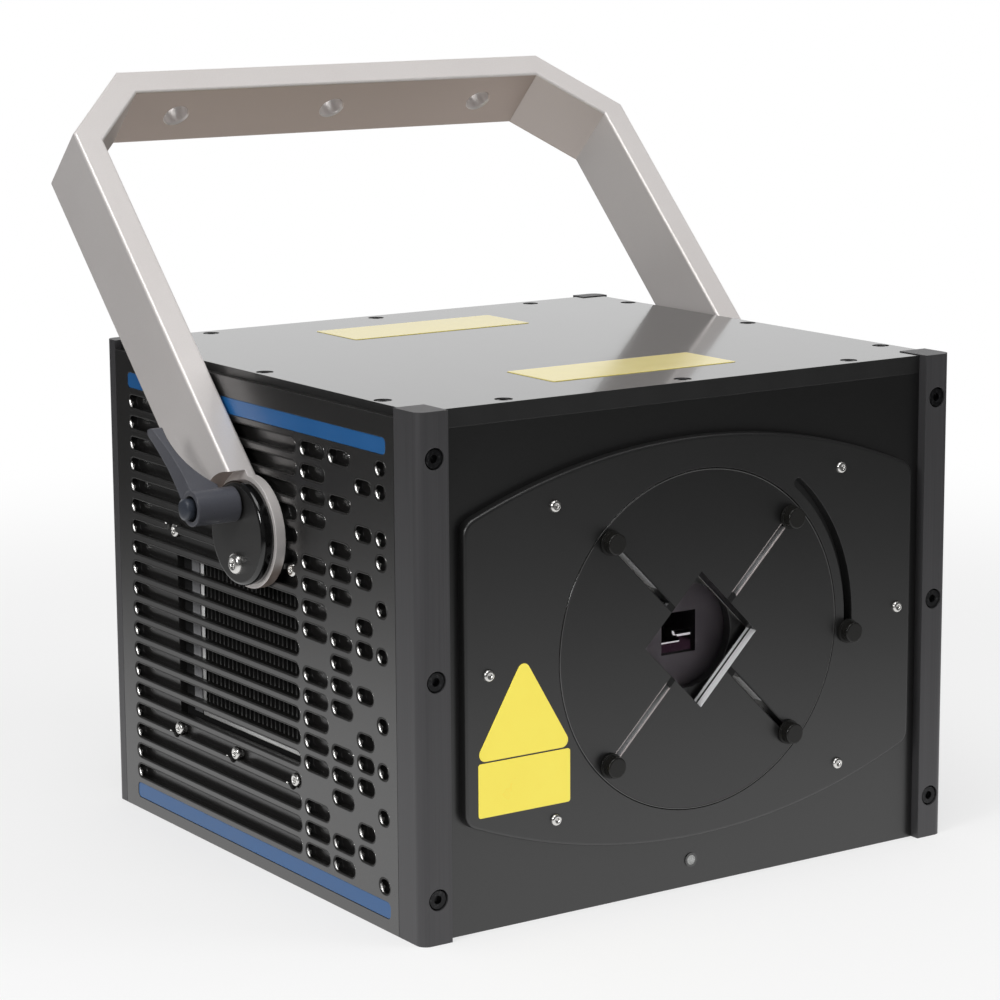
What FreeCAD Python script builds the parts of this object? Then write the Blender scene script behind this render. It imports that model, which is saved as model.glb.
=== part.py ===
"""Laser show projector: a box of corner posts, slotted side panels and a thick front panel,
with a turning masking disc over the beam window and a tilting carrying yoke.

Millimetres. X runs to the right seen from the front, Y to the rear, Z up.
The origin is the middle of the housing's underside.
"""
import FreeCAD, Part
import math
import os

V = FreeCAD.Vector

# Housing
housing_width = 308.0
housing_depth = 294.0
housing_height = 242.0
seam = 0.3                      # visible joint between neighbouring plates
overrun = 1.0                   # how far every cutting tool runs past the piece it cuts
edge_round = 1.5

# Corner posts
post_width = 16.0
front_post_depth = 19.5
rear_post_depth = 10.0
post_corner_radius = 5.0
front_flange = 11.0             # post metal in front of the front panel's tongue
rear_flange = 5.0

# Flat panels
pocket_depth = 5.0              # vent slots in the side panels, blind but for the window
side_backing = 7.5              # side panel metal behind the slots
front_panel_thickness = 10.0
front_panel_recess = 5.0        # front panel's face behind the faces of the posts
front_tongue = 4.0              # panel edge that is held behind a post
rear_panel_thickness = 3.0
base_thickness = 8.0
lid_thickness = 4.0
lid_step = 0.4                  # lid's top below the tops of the posts
lid_flange_height = 8.6
lid_flange_thickness = 3.0
lid_side_inset = 3.3
rail_depth = 10.0

# Cap screws in the posts
post_screw_radius = 2.5
post_screw_head_radius = 4.25
post_screw_head_height = 4.5
post_screw_sink = 5.2
post_screw_bore_radius = 5.0
post_screw_socket_radius = 2.0
post_screw_socket_depth = 2.2
post_screw_margin = 21.0        # outer screws in from the posts' ends
post_screw_depth = 12.0         # thread in the side panel
thread_clearance = 0.1

# Screws in the lid
lid_screw_radius = 2.0
lid_screw_head_radius = 3.5
lid_screw_head_height = 2.0
lid_screw_sink = 2.4
lid_screw_bore_radius = 4.2
lid_screw_depth = 3.0
lid_screw_row_pitch = 100.0     # along the front and rear edges
lid_screw_column_margin = 22.5  # along the side edges, from the front posts
lid_screw_setback = 8.0         # from the front edge

# Slots in the side panels
row_pitch = 10.68
bottom_row_height = 10.0
top_row_margin = 13.0           # least room between the top row's middle and the lid
slot_height = 8.0
slot_front_margin = 7.1         # first column in from the front post
slot_rear_margin = 12.8         # long slots in from the rear post
column_lengths = (9.8, 15.2, 19.8, 23.0)    # short slots, from the front
column_gaps = (2.4, 2.8, 2.2, 2.6)          # metal behind each of them
column_gap_rows = (                         # rows that a column leaves out
    (3, 6, 8, 10, 11, 13, 15, 17, 18),
    (1, 3, 5, 7, 10, 12, 16, 19),
    (2, 4, 8, 13, 17),
    (5, 10, 16),
)
strip_height = 8.0
strip_corner_radius = 2.6
strip_clearance = 0.15
strip_inset = 0.2

# Windows in the side panels and the heat sinks behind them
window_front_reach = 31.0       # window's ends from the pivot
window_rear_reach = 92.0
window_bottom = 57.0
window_top = 140.0
sink_base_thickness = 6.0
sink_depth = 30.0
sink_wall = 7.6
sink_sill = 2.2
sink_slat_gap = 3.9             # fin tips behind the slats
sink_rear_margin = 8.0          # foam between the window's edges and the sink
sink_front_margin = 3.0
sink_bottom_margin = 3.7
sink_top_margin = 1.0
sink_flange_margin = 4.0        # flange metal past its screws
fin_thickness = 1.2
fin_pitch = 4.1
sink_screw_radius = 1.75
sink_screw_head_radius = 3.6
sink_screw_head_height = 2.2
sink_spacer_height = 2.0        # lifts the heads towards the panel's face
sink_screw_socket_radius = 1.3
sink_screw_socket_depth = 1.2
sink_screw_hole_radius = 4.2
sink_screw_depth = 8.0
sink_screw_end_margin = 4.0     # outer screws in from the window's ends
sink_screw_drop = 5.8           # lower screws below the window
sink_screw_rise = 12.8          # upper screws above it

# Masking plate on the front
mask_thickness = 5.0
mask_side_gap = 7.8             # plate's sides in from the posts
mask_end_gap = 25.5             # plate's crowns in from the housing's top and bottom
mask_arc_radius = 330.0
mask_corner_radius = 8.0
mask_screw_radius = 1.5
mask_screw_head_radius = 2.85
mask_screw_head_height = 1.65
mask_screw_depth = 4.0
mask_screw_x = 83.2
mask_screw_drop = 22.7          # corner screws in from the plate's crowns
mask_screw_side_share = 0.712   # side screws, from the disc's recess to the plate's edge

# Turning disc
disc_x = 1.8                    # disc and beam to the right of the plate's middle
disc_drop = 0.8                 # and below it
disc_rim = 14.7                 # plate between the disc and the crowns
disc_groove = 0.4
disc_step = 11.6                # flange wider than the disc's face
disc_flange_thickness = 2.0
disc_play = 0.3                 # between faces that turn or slide past each other
recess_margin = 1.0
opening_half_diagonal = 32.5
slot_width = 3.2
slot_bridge = 3.0               # metal between the opening and a slot
clamp_offset = 8.0              # arc slot's middle outside the disc's face
clamp_slot_width = 5.0
clamp_rest_degrees = -5.0
clamp_travel_degrees = 55.0
clamp_screw_radius = 2.0

# Blades behind the disc and their thumb screws
blade_thickness = 1.0
blade_plate_length = 22.0
blade_stem_width = 9.0
blade_stem_reach = 5.0          # stem past the thumb screw
blade_edge_margin = 0.4         # blade's edge behind the opening's edge
blade_side_margin = 2.0         # blade wider than the opening's side
knob_inset = 6.8                # thumb screws in from the disc's edge
knob_radius = 5.0
knob_height = 4.6
knob_crown = 0.8
knob_washer_radius = 5.9
knob_washer_thickness = 1.0
knob_screw_radius = 1.5
running_fit = 0.05

# Beam window and scanner
bore_radius = 25.0
glass_radius = 29.0
glass_thickness = 1.6
frame_radius = 35.0
frame_lip_radius = 27.0
frame_lip = 0.8
aperture_side = 20.0
block_half_width = 30.0
block_length = 44.0
block_wall = 4.0
galvo_radius = 6.0
galvo_length = 30.0
galvo_shaft_radius = 1.5
mirror_y_setback = 16.0         # beam-lifting mirror's axis behind the block's face
mirror_y_drop = 5.0
mirror_x_setback = 31.0
mirror_y_length = 20.0
mirror_y_width = 9.0
mirror_x_length = 13.0
mirror_x_width = 8.0
mirror_thickness = 1.2
mirror_lean_degrees = 40.0
pedestal_width = 40.0
pedestal_web = 8.0
pedestal_flange = 6.0

# Emission lamp
lamp_height = 12.6
lamp_radius = 2.4
lamp_body_radius = 2.9
lamp_dome = 1.4
lamp_body_length = 12.0
lamp_rim = 0.5

# Tilt pivots
pivot_y = -7.0
pivot_z = 167.5
hub_radius = 20.0
hub_spigot_radius = 12.0
pad_radius = 24.0
washer_radius = 26.0
washer_thickness = 1.0
washer_clearance = 0.3
eye_gap = 1.2                   # yoke's inner faces off the side panels
eye_thickness = 5.0
eye_radius = 27.0
eye_play = 0.3
cap_radius = 25.0
cap_thickness = 6.0
cap_round = 2.0
cap_stud_offset = 14.4          # lever above and screw below the pivot
cap_screw_radius = 2.5
cap_screw_head_radius = 5.2
cap_screw_head_height = 2.6
cap_screw_socket_radius = 2.0
cap_screw_socket_depth = 1.6
button_crown_share = 0.62       # flat top of a button head

# Yoke
yoke_thickness = 14.4
yoke_bar_width = 40.0
yoke_reach = 273.5              # pivot to the top bar's outer face
yoke_corner = 39.0              # cut of each bent shoulder
yoke_lean_degrees = 45.0
yoke_step_radius = 29.5
yoke_hole_radius = 6.5
yoke_hole_pitch = 94.5
yoke_hole_chamfer = 0.8

# Clamp levers
stud_radius = 3.0
stud_core_radius = 4.0
stud_collar_radius = 6.3
stud_collar_thickness = 1.0
stud_tip_radius = 2.4
lever_hub_radius = 8.4
lever_hub_length = 22.6
lever_lift = 4.0
lever_recess_radius = 6.2
lever_spring_room = 3.6         # left for the pressed spring when the handle is lifted
button_radius = 5.4
button_height = 4.0
button_sink = 2.0
lever_reach = 47.0
lever_root_half_width = 6.0
lever_tip_radius = 2.8
lever_root_drop = 15.5          # arm's lower edge at the hub, below the hub's outer end
lever_tip_drop = 2.5
lever_tip_rise = 4.0
lever_sweep = 8.0
lever_edge_radius = 1.2

# Rear panel fittings
fan_edge_inset = 104.7          # fan's middle in from the rear panel's edge
fan_top_margin = 83.0
fan_opening_radius = 43.0
fan_half_side = 46.0
fan_depth = 25.0
fan_corner_radius = 5.0
fan_hub_radius = 19.0
fan_blade_gap = 1.5
fan_blade_count = 7
fan_blade_pitch_degrees = 35.0
fan_blade_thickness = 1.6
fan_blade_depth = 16.0
fan_strut_width = 5.0
fan_strut_thickness = 3.0
fan_strut_count = 3
fan_motor_radius = 17.0
fan_spindle_radius = 2.0
guard_thickness = 1.6
guard_ring_width = 2.0
guard_ring_count = 4
guard_hub_radius = 9.0
guard_spoke_width = 3.0
guard_screw_offset = 41.2
guard_ear_radius = 5.0
fitting_z = 42.0
inlet_width = 48.0
inlet_height = 28.0
inlet_flange = 2.5
inlet_body_width = 28.0
inlet_body_height = 20.0
inlet_body_depth = 22.0
inlet_recess_depth = 16.0
inlet_recess_wall = 2.0
inlet_pin_width = 2.0
inlet_pin_height = 4.0
inlet_pin_length = 12.0
inlet_pin_pitch = 7.0
inlet_pin_offset = 2.0
dsub_width = 53.0
dsub_height = 12.6
dsub_flange = 1.2
dsub_shell_width = 39.0
dsub_shell_height = 8.4
dsub_shell_length = 6.0
dsub_slant = 1.5
dsub_post_pitch = 47.0
dsub_post_radius = 2.4
dsub_post_length = 5.0
dsub_body_depth = 10.0
jack_width = 18.0
jack_height = 16.0
jack_bezel = 1.5
jack_body_margin = 1.5
jack_body_depth = 16.0
jack_port_width = 12.0
jack_port_height = 8.0
jack_port_depth = 11.0
interlock_width = 26.0
interlock_height = 31.0
interlock_flange = 2.0
interlock_body_radius = 11.5
interlock_body_depth = 20.0
interlock_recess_radius = 9.0
interlock_recess_depth = 12.0
interlock_pin_radius = 1.2
interlock_pin_circle = 4.0
interlock_pin_length = 9.0
interlock_pin_count = 3
key_edge_inset = 30.7
key_z = 96.0
key_body_radius = 9.5
key_bezel_radius = 12.0
key_bezel_length = 4.0
key_body_depth = 24.0
key_barrel_radius = 6.0
key_barrel_length = 20.0
key_bow_width = 22.0
key_bow_length = 20.0
key_blade_width = 8.0
key_blade_length = 9.0
key_thickness = 2.2
key_hole_radius = 3.0

# Places that follow from the sizes above
half_width = housing_width / 2
half_depth = housing_depth / 2
mid_height = housing_height / 2
post_inner = half_width - post_width
pocket_floor = half_width - pocket_depth
side_inner = pocket_floor - side_backing
side_middle = pocket_floor - side_backing / 2
post_front = -half_depth
front_face = post_front + front_panel_recess
front_back = front_face + front_panel_thickness
front_post_end = post_front + front_post_depth
tongue_front = post_front + front_flange
tongue_back = tongue_front + front_tongue
rear_post_end = half_depth - rear_post_depth
rear_face = half_depth - rear_flange
rear_back = rear_face - rear_panel_thickness
lid_top = housing_height - lid_step
lid_bottom = lid_top - lid_thickness
panel_top = lid_top - lid_flange_height
lid_screw_column_pitch = -front_post_end - lid_screw_column_margin
side_front = tongue_back
side_rear = rear_back
row_count = 1 + int((lid_bottom - bottom_row_height - top_row_margin) // row_pitch)
strip_front = front_post_end + slot_front_margin
slot_rear = rear_post_end - slot_rear_margin
column_fronts = [strip_front + sum(column_lengths[:place]) + sum(column_gaps[:place])
                 for place in range(len(column_lengths) + 1)]
long_slot_front = column_fronts[-1]
window_front = pivot_y - window_front_reach
window_rear = pivot_y + window_rear_reach
mask_half_width = post_inner - mask_side_gap
mask_half_height = mid_height - mask_end_gap
mask_screw_z = mask_half_height - mask_screw_drop
disc_z = mid_height - disc_drop
disc_radius = mask_half_height - disc_rim
disc_flange_radius = disc_radius + disc_step
recess_radius = disc_flange_radius + recess_margin
mask_screw_side_x = recess_radius + mask_screw_side_share * (mask_half_width - recess_radius)
clamp_radius = disc_radius + clamp_offset
knob_circle_radius = disc_radius - knob_inset
blade_stem_end = knob_circle_radius + blade_stem_reach
mask_face = front_face - mask_thickness
flange_front = front_face + disc_play
flange_back = flange_front + disc_flange_thickness
recess_floor = flange_back + 2 * blade_thickness + 3 * disc_play
opening_apothem = opening_half_diagonal * math.sqrt(0.5)
eye_inner = half_width + eye_gap
eye_outer = eye_inner + eye_thickness
cap_inner = eye_outer + eye_play
cap_outer = cap_inner + cap_thickness
yoke_outer_half_width = eye_inner + yoke_thickness
stud_z = pivot_z + cap_stud_offset
lever_core_length = lever_hub_length - button_sink - button_height - lever_lift - lever_spring_room
glass_back = front_back + glass_thickness
block_face = glass_back + frame_lip + seam
rear_edge = pocket_floor - seam
fan_x = rear_edge - fan_edge_inset
fan_z = panel_top - fan_top_margin
key_x = key_edge_inset - rear_edge
fitting_gap = (2 * rear_edge - jack_width - dsub_width - interlock_width - inlet_width) / 5
jack_x = fitting_gap + jack_width / 2 - rear_edge
dsub_x = jack_x + (jack_width + dsub_width) / 2 + fitting_gap
interlock_x = dsub_x + (dsub_width + interlock_width) / 2 + fitting_gap
inlet_x = interlock_x + (interlock_width + inlet_width) / 2 + fitting_gap


def block(x0, x1, y0, y1, z0, z1):
    """Box between two opposite corners."""
    return Part.makeBox(x1 - x0, y1 - y0, z1 - z0, V(x0, y0, z0))


def rod(radius, start, direction, length):
    """Cylinder from a start point along a direction."""
    return Part.makeCylinder(radius, length, start, direction)


def ring(outer_radius, inner_radius, start, direction, length):
    """Cylinder with a round hole along it."""
    tool = rod(inner_radius, start - direction * overrun, direction, length + 2 * overrun)
    return rod(outer_radius, start, direction, length).cut(tool)


def loop(points):
    """Closed wire of straight lines."""
    return Part.makePolygon(list(points) + [points[0]])


def rounded_loop(u_min, u_max, v_min, v_max, radius, to_point):
    """Closed rounded rectangle; to_point turns two flat coordinates into a point."""
    corners = ((u_max, v_max), (u_min, v_max), (u_min, v_min), (u_max, v_min))
    stops = []
    edges = []
    for quarter, (u, v) in enumerate(corners):
        u_mid = u - radius if u == u_max else u + radius
        v_mid = v - radius if v == v_max else v + radius
        turn = [math.pi / 2 * (quarter + part) for part in (0, 0.5, 1)]
        arc = [to_point(u_mid + radius * math.cos(a), v_mid + radius * math.sin(a)) for a in turn]
        stops.append(arc)
    for place, arc in enumerate(stops):
        edges.append(Part.Arc(*arc).toShape())
        following = stops[(place + 1) % len(stops)][0]
        if arc[2].distanceToPoint(following) > Part.Vertex(arc[2]).Tolerance:
            edges.append(Part.makeLine(arc[2], following))
    return Part.Wire(edges)


def stadium_loop(u_min, u_max, v_mid, height, to_point):
    """Closed slot outline with half-round ends along the first flat coordinate."""
    radius = height / 2
    low_left = to_point(u_min + radius, v_mid - radius)
    low_right = to_point(u_max - radius, v_mid - radius)
    high_left = to_point(u_min + radius, v_mid + radius)
    high_right = to_point(u_max - radius, v_mid + radius)
    edges = [
        Part.makeLine(low_left, low_right),
        Part.Arc(low_right, to_point(u_max, v_mid), high_right).toShape(),
        Part.makeLine(high_right, high_left),
        Part.Arc(high_left, to_point(u_min, v_mid), low_left).toShape(),
    ]
    return Part.Wire(edges)


def mirrored(shape):
    """The same piece on the right-hand side."""
    return shape.mirror(V(0, 0, 0), V(1, 0, 0))


def both_sides(shapes):
    """Left-hand solids and their right-hand twins, as one group."""
    return Part.makeCompound(list(shapes) + [mirrored(shape) for shape in shapes])


def with_shank(head, head_height, radius, socket_radius, socket_depth, length, seat, inward):
    """Give a screw head its shank, along inward from the seat point, and its round socket."""
    socket = rod(socket_radius, seat - inward * (head_height + overrun), inward, socket_depth + overrun)
    return head.fuse(rod(radius, seat, inward, length)).cut(socket)


def cap_screw(radius, head_radius, head_height, socket_radius, socket_depth, length, seat, inward):
    """Screw with a straight round head that rests on the seat point."""
    head = rod(head_radius, seat, inward * -1, head_height)
    return with_shank(head, head_height, radius, socket_radius, socket_depth, length, seat, inward)


def button_screw(radius, head_radius, head_height, socket_radius, socket_depth, length, seat, inward):
    """Screw with a low head that narrows to its top."""
    head = Part.makeCone(head_radius, head_radius * button_crown_share, head_height, seat, inward * -1)
    return with_shank(head, head_height, radius, socket_radius, socket_depth, length, seat, inward)


# Posts

def post(depth, flange):
    """Post standing at the origin's corner, rounded there, rebated behind for the panels below its top."""
    radius = post_corner_radius
    middle = radius * (1 - math.sqrt(0.5))
    outline = [
        Part.Arc(V(0, radius, 0), V(middle, middle, 0), V(radius, 0, 0)).toShape(),
        Part.makeLine(V(radius, 0, 0), V(post_width, 0, 0)),
        Part.makeLine(V(post_width, 0, 0), V(post_width, depth, 0)),
        Part.makeLine(V(post_width, depth, 0), V(0, depth, 0)),
        Part.makeLine(V(0, depth, 0), V(0, radius, 0)),
    ]
    bar = Part.Face(Part.Wire(outline)).extrude(V(0, 0, housing_height))
    rebate = block(pocket_depth, post_width + overrun, flange, depth + overrun, -overrun, lid_bottom)
    return bar.cut(rebate)


def post_screw_heights():
    return [post_screw_margin, mid_height, housing_height - post_screw_margin]


def front_post():
    """Front-left post with three deep counterbores in its front face."""
    shape = post(front_post_depth, front_flange)
    shape.translate(V(-half_width, post_front, 0))
    for z in post_screw_heights():
        start = V(-side_middle, post_front - overrun, z)
        shape = shape.cut(rod(post_screw_bore_radius, start, V(0, 1, 0), overrun + post_screw_sink))
        hole = rod(post_screw_radius + thread_clearance, start, V(0, 1, 0), overrun + front_post_depth)
        shape = shape.cut(hole)
    return shape


def rear_post():
    """Rear-left post; its screws have their heads on its rear face."""
    shape = post(rear_post_depth, rear_flange)
    shape = shape.mirror(V(0, 0, 0), V(0, 1, 0))
    shape.translate(V(-half_width, half_depth, 0))
    for z in post_screw_heights():
        start = V(-side_middle, half_depth + overrun, z)
        hole = rod(post_screw_radius + thread_clearance, start, V(0, -1, 0), overrun + rear_post_depth)
        shape = shape.cut(hole)
    return shape


def post_screws():
    """Twelve socket screws that tie the posts to the side panels."""
    screws = []
    for z in post_screw_heights():
        front_seat = V(-side_middle, post_front + post_screw_sink, z)
        front_length = side_front + post_screw_depth - front_seat.y
        rear_seat = V(-side_middle, half_depth, z)
        rear_length = half_depth - side_rear + post_screw_depth
        places = ((front_seat, V(0, 1, 0), front_length), (rear_seat, V(0, -1, 0), rear_length))
        for seat, inward, length in places:
            screws.append(cap_screw(post_screw_radius, post_screw_head_radius, post_screw_head_height,
                                    post_screw_socket_radius, post_screw_socket_depth, length, seat, inward))
    return both_sides(screws)


# Side panels

def row_height(row):
    """Middle of a slot row; row 0 is the top accent strip."""
    return bottom_row_height + (row_count - 1 - row) * row_pitch


def side_point(x):
    """Flat (y, z) coordinates on an upright plane at x."""
    return lambda y, z: V(x, y, z)


def sink_screw_places():
    """Three screws above and three below a side window, as (y, z)."""
    rear = window_rear - sink_screw_end_margin
    front = window_front + sink_screw_end_margin
    heights = (window_bottom - sink_screw_drop, window_top + sink_screw_rise)
    return [(y, z) for z in heights for y in (rear, (rear + front) / 2, front)]


def strip_loop(row, x, clearance):
    """Outline of an accent strip, or of its opening when the clearance is zero."""
    middle = row_height(row)
    half = strip_height / 2 - clearance
    radius = strip_corner_radius - clearance
    return rounded_loop(strip_front + clearance, slot_rear - clearance, middle - half, middle + half,
                        radius, side_point(x))


def side_slots(x):
    """Faces of all vent slots of the left panel."""
    loops = []
    for row in range(1, row_count - 1):
        loops.append(stadium_loop(long_slot_front, slot_rear, row_height(row), slot_height, side_point(x)))
        for front, length, gaps in zip(column_fronts, column_lengths, column_gap_rows):
            if row not in gaps:
                loops.append(stadium_loop(front, front + length, row_height(row), slot_height, side_point(x)))
    return Part.makeCompound([Part.Face(edge_loop) for edge_loop in loops])


def side_face():
    """Slotted outer layer of the left panel, whole under the pivot."""
    x = -half_width
    corners = (V(x, front_post_end + seam, 0), V(x, rear_post_end - seam, 0),
               V(x, rear_post_end - seam, lid_bottom), V(x, front_post_end + seam, lid_bottom))
    pad = Part.Face(Part.Wire(Part.makeCircle(pad_radius, V(x, pivot_y, pivot_z), V(1, 0, 0))))
    openings = [side_slots(x).cut(pad)]
    openings += [Part.Face(strip_loop(row, x, 0)) for row in (0, row_count - 1)]
    for y, z in sink_screw_places():
        hole = Part.Face(Part.Wire(Part.makeCircle(sink_screw_hole_radius, V(x, y, z), V(1, 0, 0))))
        openings.append(hole.cut(pad))
    return Part.Face(loop(corners)).cut(openings)


def side_panel():
    """Thick left panel: slots milled from outside, a window milled from inside that opens some of them."""
    outer = side_face().extrude(V(pocket_depth, 0, 0))
    backing = block(-pocket_floor, -side_inner, side_front, side_rear, 0, lid_bottom)
    window = block(-pocket_floor - overrun, -side_inner + overrun, window_front, window_rear,
                   window_bottom, window_top)
    backing = backing.cut(window)
    through = side_backing + pocket_depth + 2 * overrun
    tools = [rod(hub_spigot_radius, V(-half_width - overrun, pivot_y, pivot_z), V(1, 0, 0), through)]
    for y, z in sink_screw_places():
        tools.append(rod(sink_screw_radius + thread_clearance, V(-pocket_floor - overrun, y, z), V(1, 0, 0),
                         side_backing + 2 * overrun))
    for z in post_screw_heights():
        for y, inward in ((side_front, V(0, 1, 0)), (side_rear, V(0, -1, 0))):
            tools.append(rod(post_screw_radius + thread_clearance, V(-side_middle, y, z) - inward * overrun,
                             inward, post_screw_depth + 2 * overrun))
    for y in lid_screw_columns():
        tools.append(rod(lid_screw_radius + thread_clearance, V(-side_middle, y, lid_bottom + overrun),
                         V(0, 0, -1), lid_screw_depth + 2 * overrun))
    return outer.fuse(backing).removeSplitter().cut(Part.makeCompound(tools))


def accent_strips():
    """Blue inlays above and below the slots, bedded in the side panels."""
    strips = []
    for row in (0, row_count - 1):
        face = Part.Face(strip_loop(row, -half_width + strip_inset, strip_clearance))
        strips.append(face.extrude(V(pocket_depth - strip_inset, 0, 0)))
    return both_sides(strips)


def sink_nose():
    """Outline of the heat sink's part inside the window, as (front, rear, low, high)."""
    return (window_front + sink_front_margin, window_rear - sink_rear_margin,
            window_bottom + sink_bottom_margin, window_top - sink_top_margin)


def heat_sink():
    """Finned block that reaches into the left window, with two flanges screwed to the side panel."""
    outer = -side_inner
    inner = outer + sink_depth
    tip = sink_slat_gap - pocket_floor
    front, rear, low, high = sink_nose()
    foot = window_bottom - sink_screw_drop - sink_flange_margin
    head = window_top + sink_screw_rise + sink_flange_margin
    base = block(inner - sink_base_thickness, inner, front, rear, foot, head)
    pieces = [block(outer, inner, front, rear, foot, low),
              block(outer, inner, front, rear, high, head),
              block(tip, inner, front, rear, low, low + sink_sill)]
    for y in (front, rear - sink_wall):
        pieces.append(block(tip, inner, y, y + sink_wall, low, high))
    clear = rear - front - 2 * sink_wall
    count = int(clear // fin_pitch)
    start = front + sink_wall + (clear - (count - 1) * fin_pitch - fin_thickness) / 2
    for place in range(count):
        y = start + place * fin_pitch
        pieces.append(block(tip, inner, y, y + fin_thickness, low, high))
    shape = base.multiFuse(pieces).removeSplitter()
    for y, z in sink_screw_places():
        shape = shape.cut(rod(sink_screw_radius + thread_clearance, V(outer - overrun, y, z), V(1, 0, 0),
                              sink_screw_depth + 2 * overrun))
    return shape


def window_gaskets():
    """Black foam frames that close the windows round the heat sinks."""
    tip = sink_slat_gap - pocket_floor
    front, rear, low, high = sink_nose()
    frame = block(tip, -side_inner, window_front, window_rear, window_bottom, window_top)
    core = block(tip - overrun, -side_inner + overrun, front, rear, low, high)
    return both_sides([frame.cut(core)])


def sink_screws():
    """Button-head screws on spacers, through the side panels into the heat sinks' bars."""
    inward = V(1, 0, 0)
    screws = []
    for y, z in sink_screw_places():
        floor = V(-pocket_floor, y, z)
        spacer = rod(sink_screw_head_radius, floor, inward * -1, sink_spacer_height)
        screw = button_screw(sink_screw_radius, sink_screw_head_radius, sink_screw_head_height,
                             sink_screw_socket_radius, sink_screw_socket_depth,
                             sink_spacer_height + side_backing + sink_screw_depth,
                             floor - inward * sink_spacer_height, inward)
        screws.append(screw.fuse(spacer).removeSplitter())
    return both_sides(screws)


# Base, lid and rails

def base_plate():
    """Bottom plate between the side panels, front panel and rear panel."""
    return block(-side_inner + seam, side_inner - seam, front_back + seam, rear_back - seam, 0, base_thickness)


def lid_screw_columns():
    return [step * lid_screw_column_pitch for step in (-1, 0, 1)]


def lid_screw_places():
    """Screws along all four edges of the lid, as (x, y)."""
    row_y = (front_face + lid_screw_setback, rear_face - lid_screw_setback)
    places = [(step * lid_screw_row_pitch, y) for step in (-1, 0, 1) for y in row_y]
    places += [(side * side_middle, y) for side in (-1, 1) for y in lid_screw_columns()]
    return places


def top_lid():
    """Lid on the side panels, notched round the posts, folded down at the front and rear."""
    edge_x = half_width - lid_side_inset
    between = post_inner - seam
    shape = block(-between, between, front_face, rear_face, lid_bottom, lid_top)
    middle = block(-edge_x, edge_x, front_post_end + seam, rear_post_end - seam, lid_bottom, lid_top)
    front = block(-between, between, front_face, front_face + lid_flange_thickness, panel_top, lid_top)
    rear = block(-between, between, rear_face - lid_flange_thickness, rear_face, panel_top, lid_top)
    shape = shape.multiFuse([middle, front, rear]).removeSplitter()
    tools = []
    for x, y in lid_screw_places():
        top = V(x, y, lid_top + overrun)
        tools.append(rod(lid_screw_bore_radius, top, V(0, 0, -1), lid_screw_sink + overrun))
        tools.append(rod(lid_screw_radius + thread_clearance, top, V(0, 0, -1), lid_thickness + 2 * overrun))
    return shape.cut(Part.makeCompound(tools))


def lid_screws():
    """Twelve low-head screws sunk in the lid."""
    screws = []
    for x, y in lid_screw_places():
        seat = V(x, y, lid_top - lid_screw_sink)
        length = lid_thickness - lid_screw_sink + lid_screw_depth
        screws.append(cap_screw(lid_screw_radius, lid_screw_head_radius, lid_screw_head_height,
                                post_screw_socket_radius, lid_screw_head_height / 2, length, seat, V(0, 0, -1)))
    return Part.makeCompound(screws)


def cross_rails():
    """Bars under the lid's front and rear edges that take its screws."""
    between = post_inner - seam
    front_y = front_face + lid_flange_thickness + seam
    rear_y = rear_face - lid_flange_thickness - seam
    rails = [block(-between, between, front_y, front_y + rail_depth, panel_top, lid_bottom),
             block(-between, between, rear_y - rail_depth, rear_y, panel_top, lid_bottom)]
    tools = []
    for x, y in lid_screw_places():
        tools.append(rod(lid_screw_radius + thread_clearance, V(x, y, lid_bottom + overrun), V(0, 0, -1),
                         lid_screw_depth + 2 * overrun))
    drills = Part.makeCompound(tools)
    return Part.makeCompound([rail.cut(drills) for rail in rails])


# Front panel and masking plate

def front_point(y):
    """Flat (x, z) coordinates on an upright plane at y, with z measured from mid height."""
    return lambda x, z: V(x, y, mid_height + z)


def front_panel():
    """Thick front panel: tongues behind the posts, round recess for the disc, beam bore."""
    between = post_inner - seam
    shape = block(-between, between, front_face, front_back, 0, panel_top)
    tongue_edge = pocket_floor - seam
    tongues = block(-tongue_edge, tongue_edge, tongue_front, tongue_back, 0, panel_top)
    shape = shape.fuse(tongues).removeSplitter()
    centre = V(disc_x, front_face - overrun, disc_z)
    depth = recess_floor - front_face
    shape = shape.cut(rod(recess_radius, centre, V(0, 1, 0), depth + overrun))
    tools = [rod(bore_radius, centre, V(0, 1, 0), front_panel_thickness + 2 * overrun),
             rod(lamp_body_radius, V(0, front_face - overrun, lamp_height), V(0, 1, 0),
                 front_panel_thickness + 2 * overrun)]
    for x, z in mask_screw_places():
        tools.append(rod(mask_screw_radius + thread_clearance, V(x, front_face - overrun, mid_height + z),
                         V(0, 1, 0), mask_screw_depth + 2 * overrun))
    for side in (-1, 1):
        for z in post_screw_heights():
            start = V(side * side_middle, tongue_front - overrun, z)
            tools.append(rod(post_screw_radius + thread_clearance, start, V(0, 1, 0),
                             front_tongue + 2 * overrun))
    return shape.cut(Part.makeCompound(tools))


def mask_screw_places():
    """Six screws of the masking plate round the disc, as (x, z) from the plate's middle."""
    places = [(sx * mask_screw_x, sz * mask_screw_z) for sx in (-1, 1) for sz in (-1, 1)]
    places += [(-mask_screw_side_x, 0), (mask_screw_side_x, 0)]
    return [(disc_x + x, z - disc_drop) for x, z in places]


def clamp_point(degrees, radius, y):
    """Point on a circle round the disc's centre; degrees run anticlockwise seen from the front."""
    angle = math.radians(degrees)
    return V(disc_x + radius * math.cos(angle), y, disc_z + radius * math.sin(angle))


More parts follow.
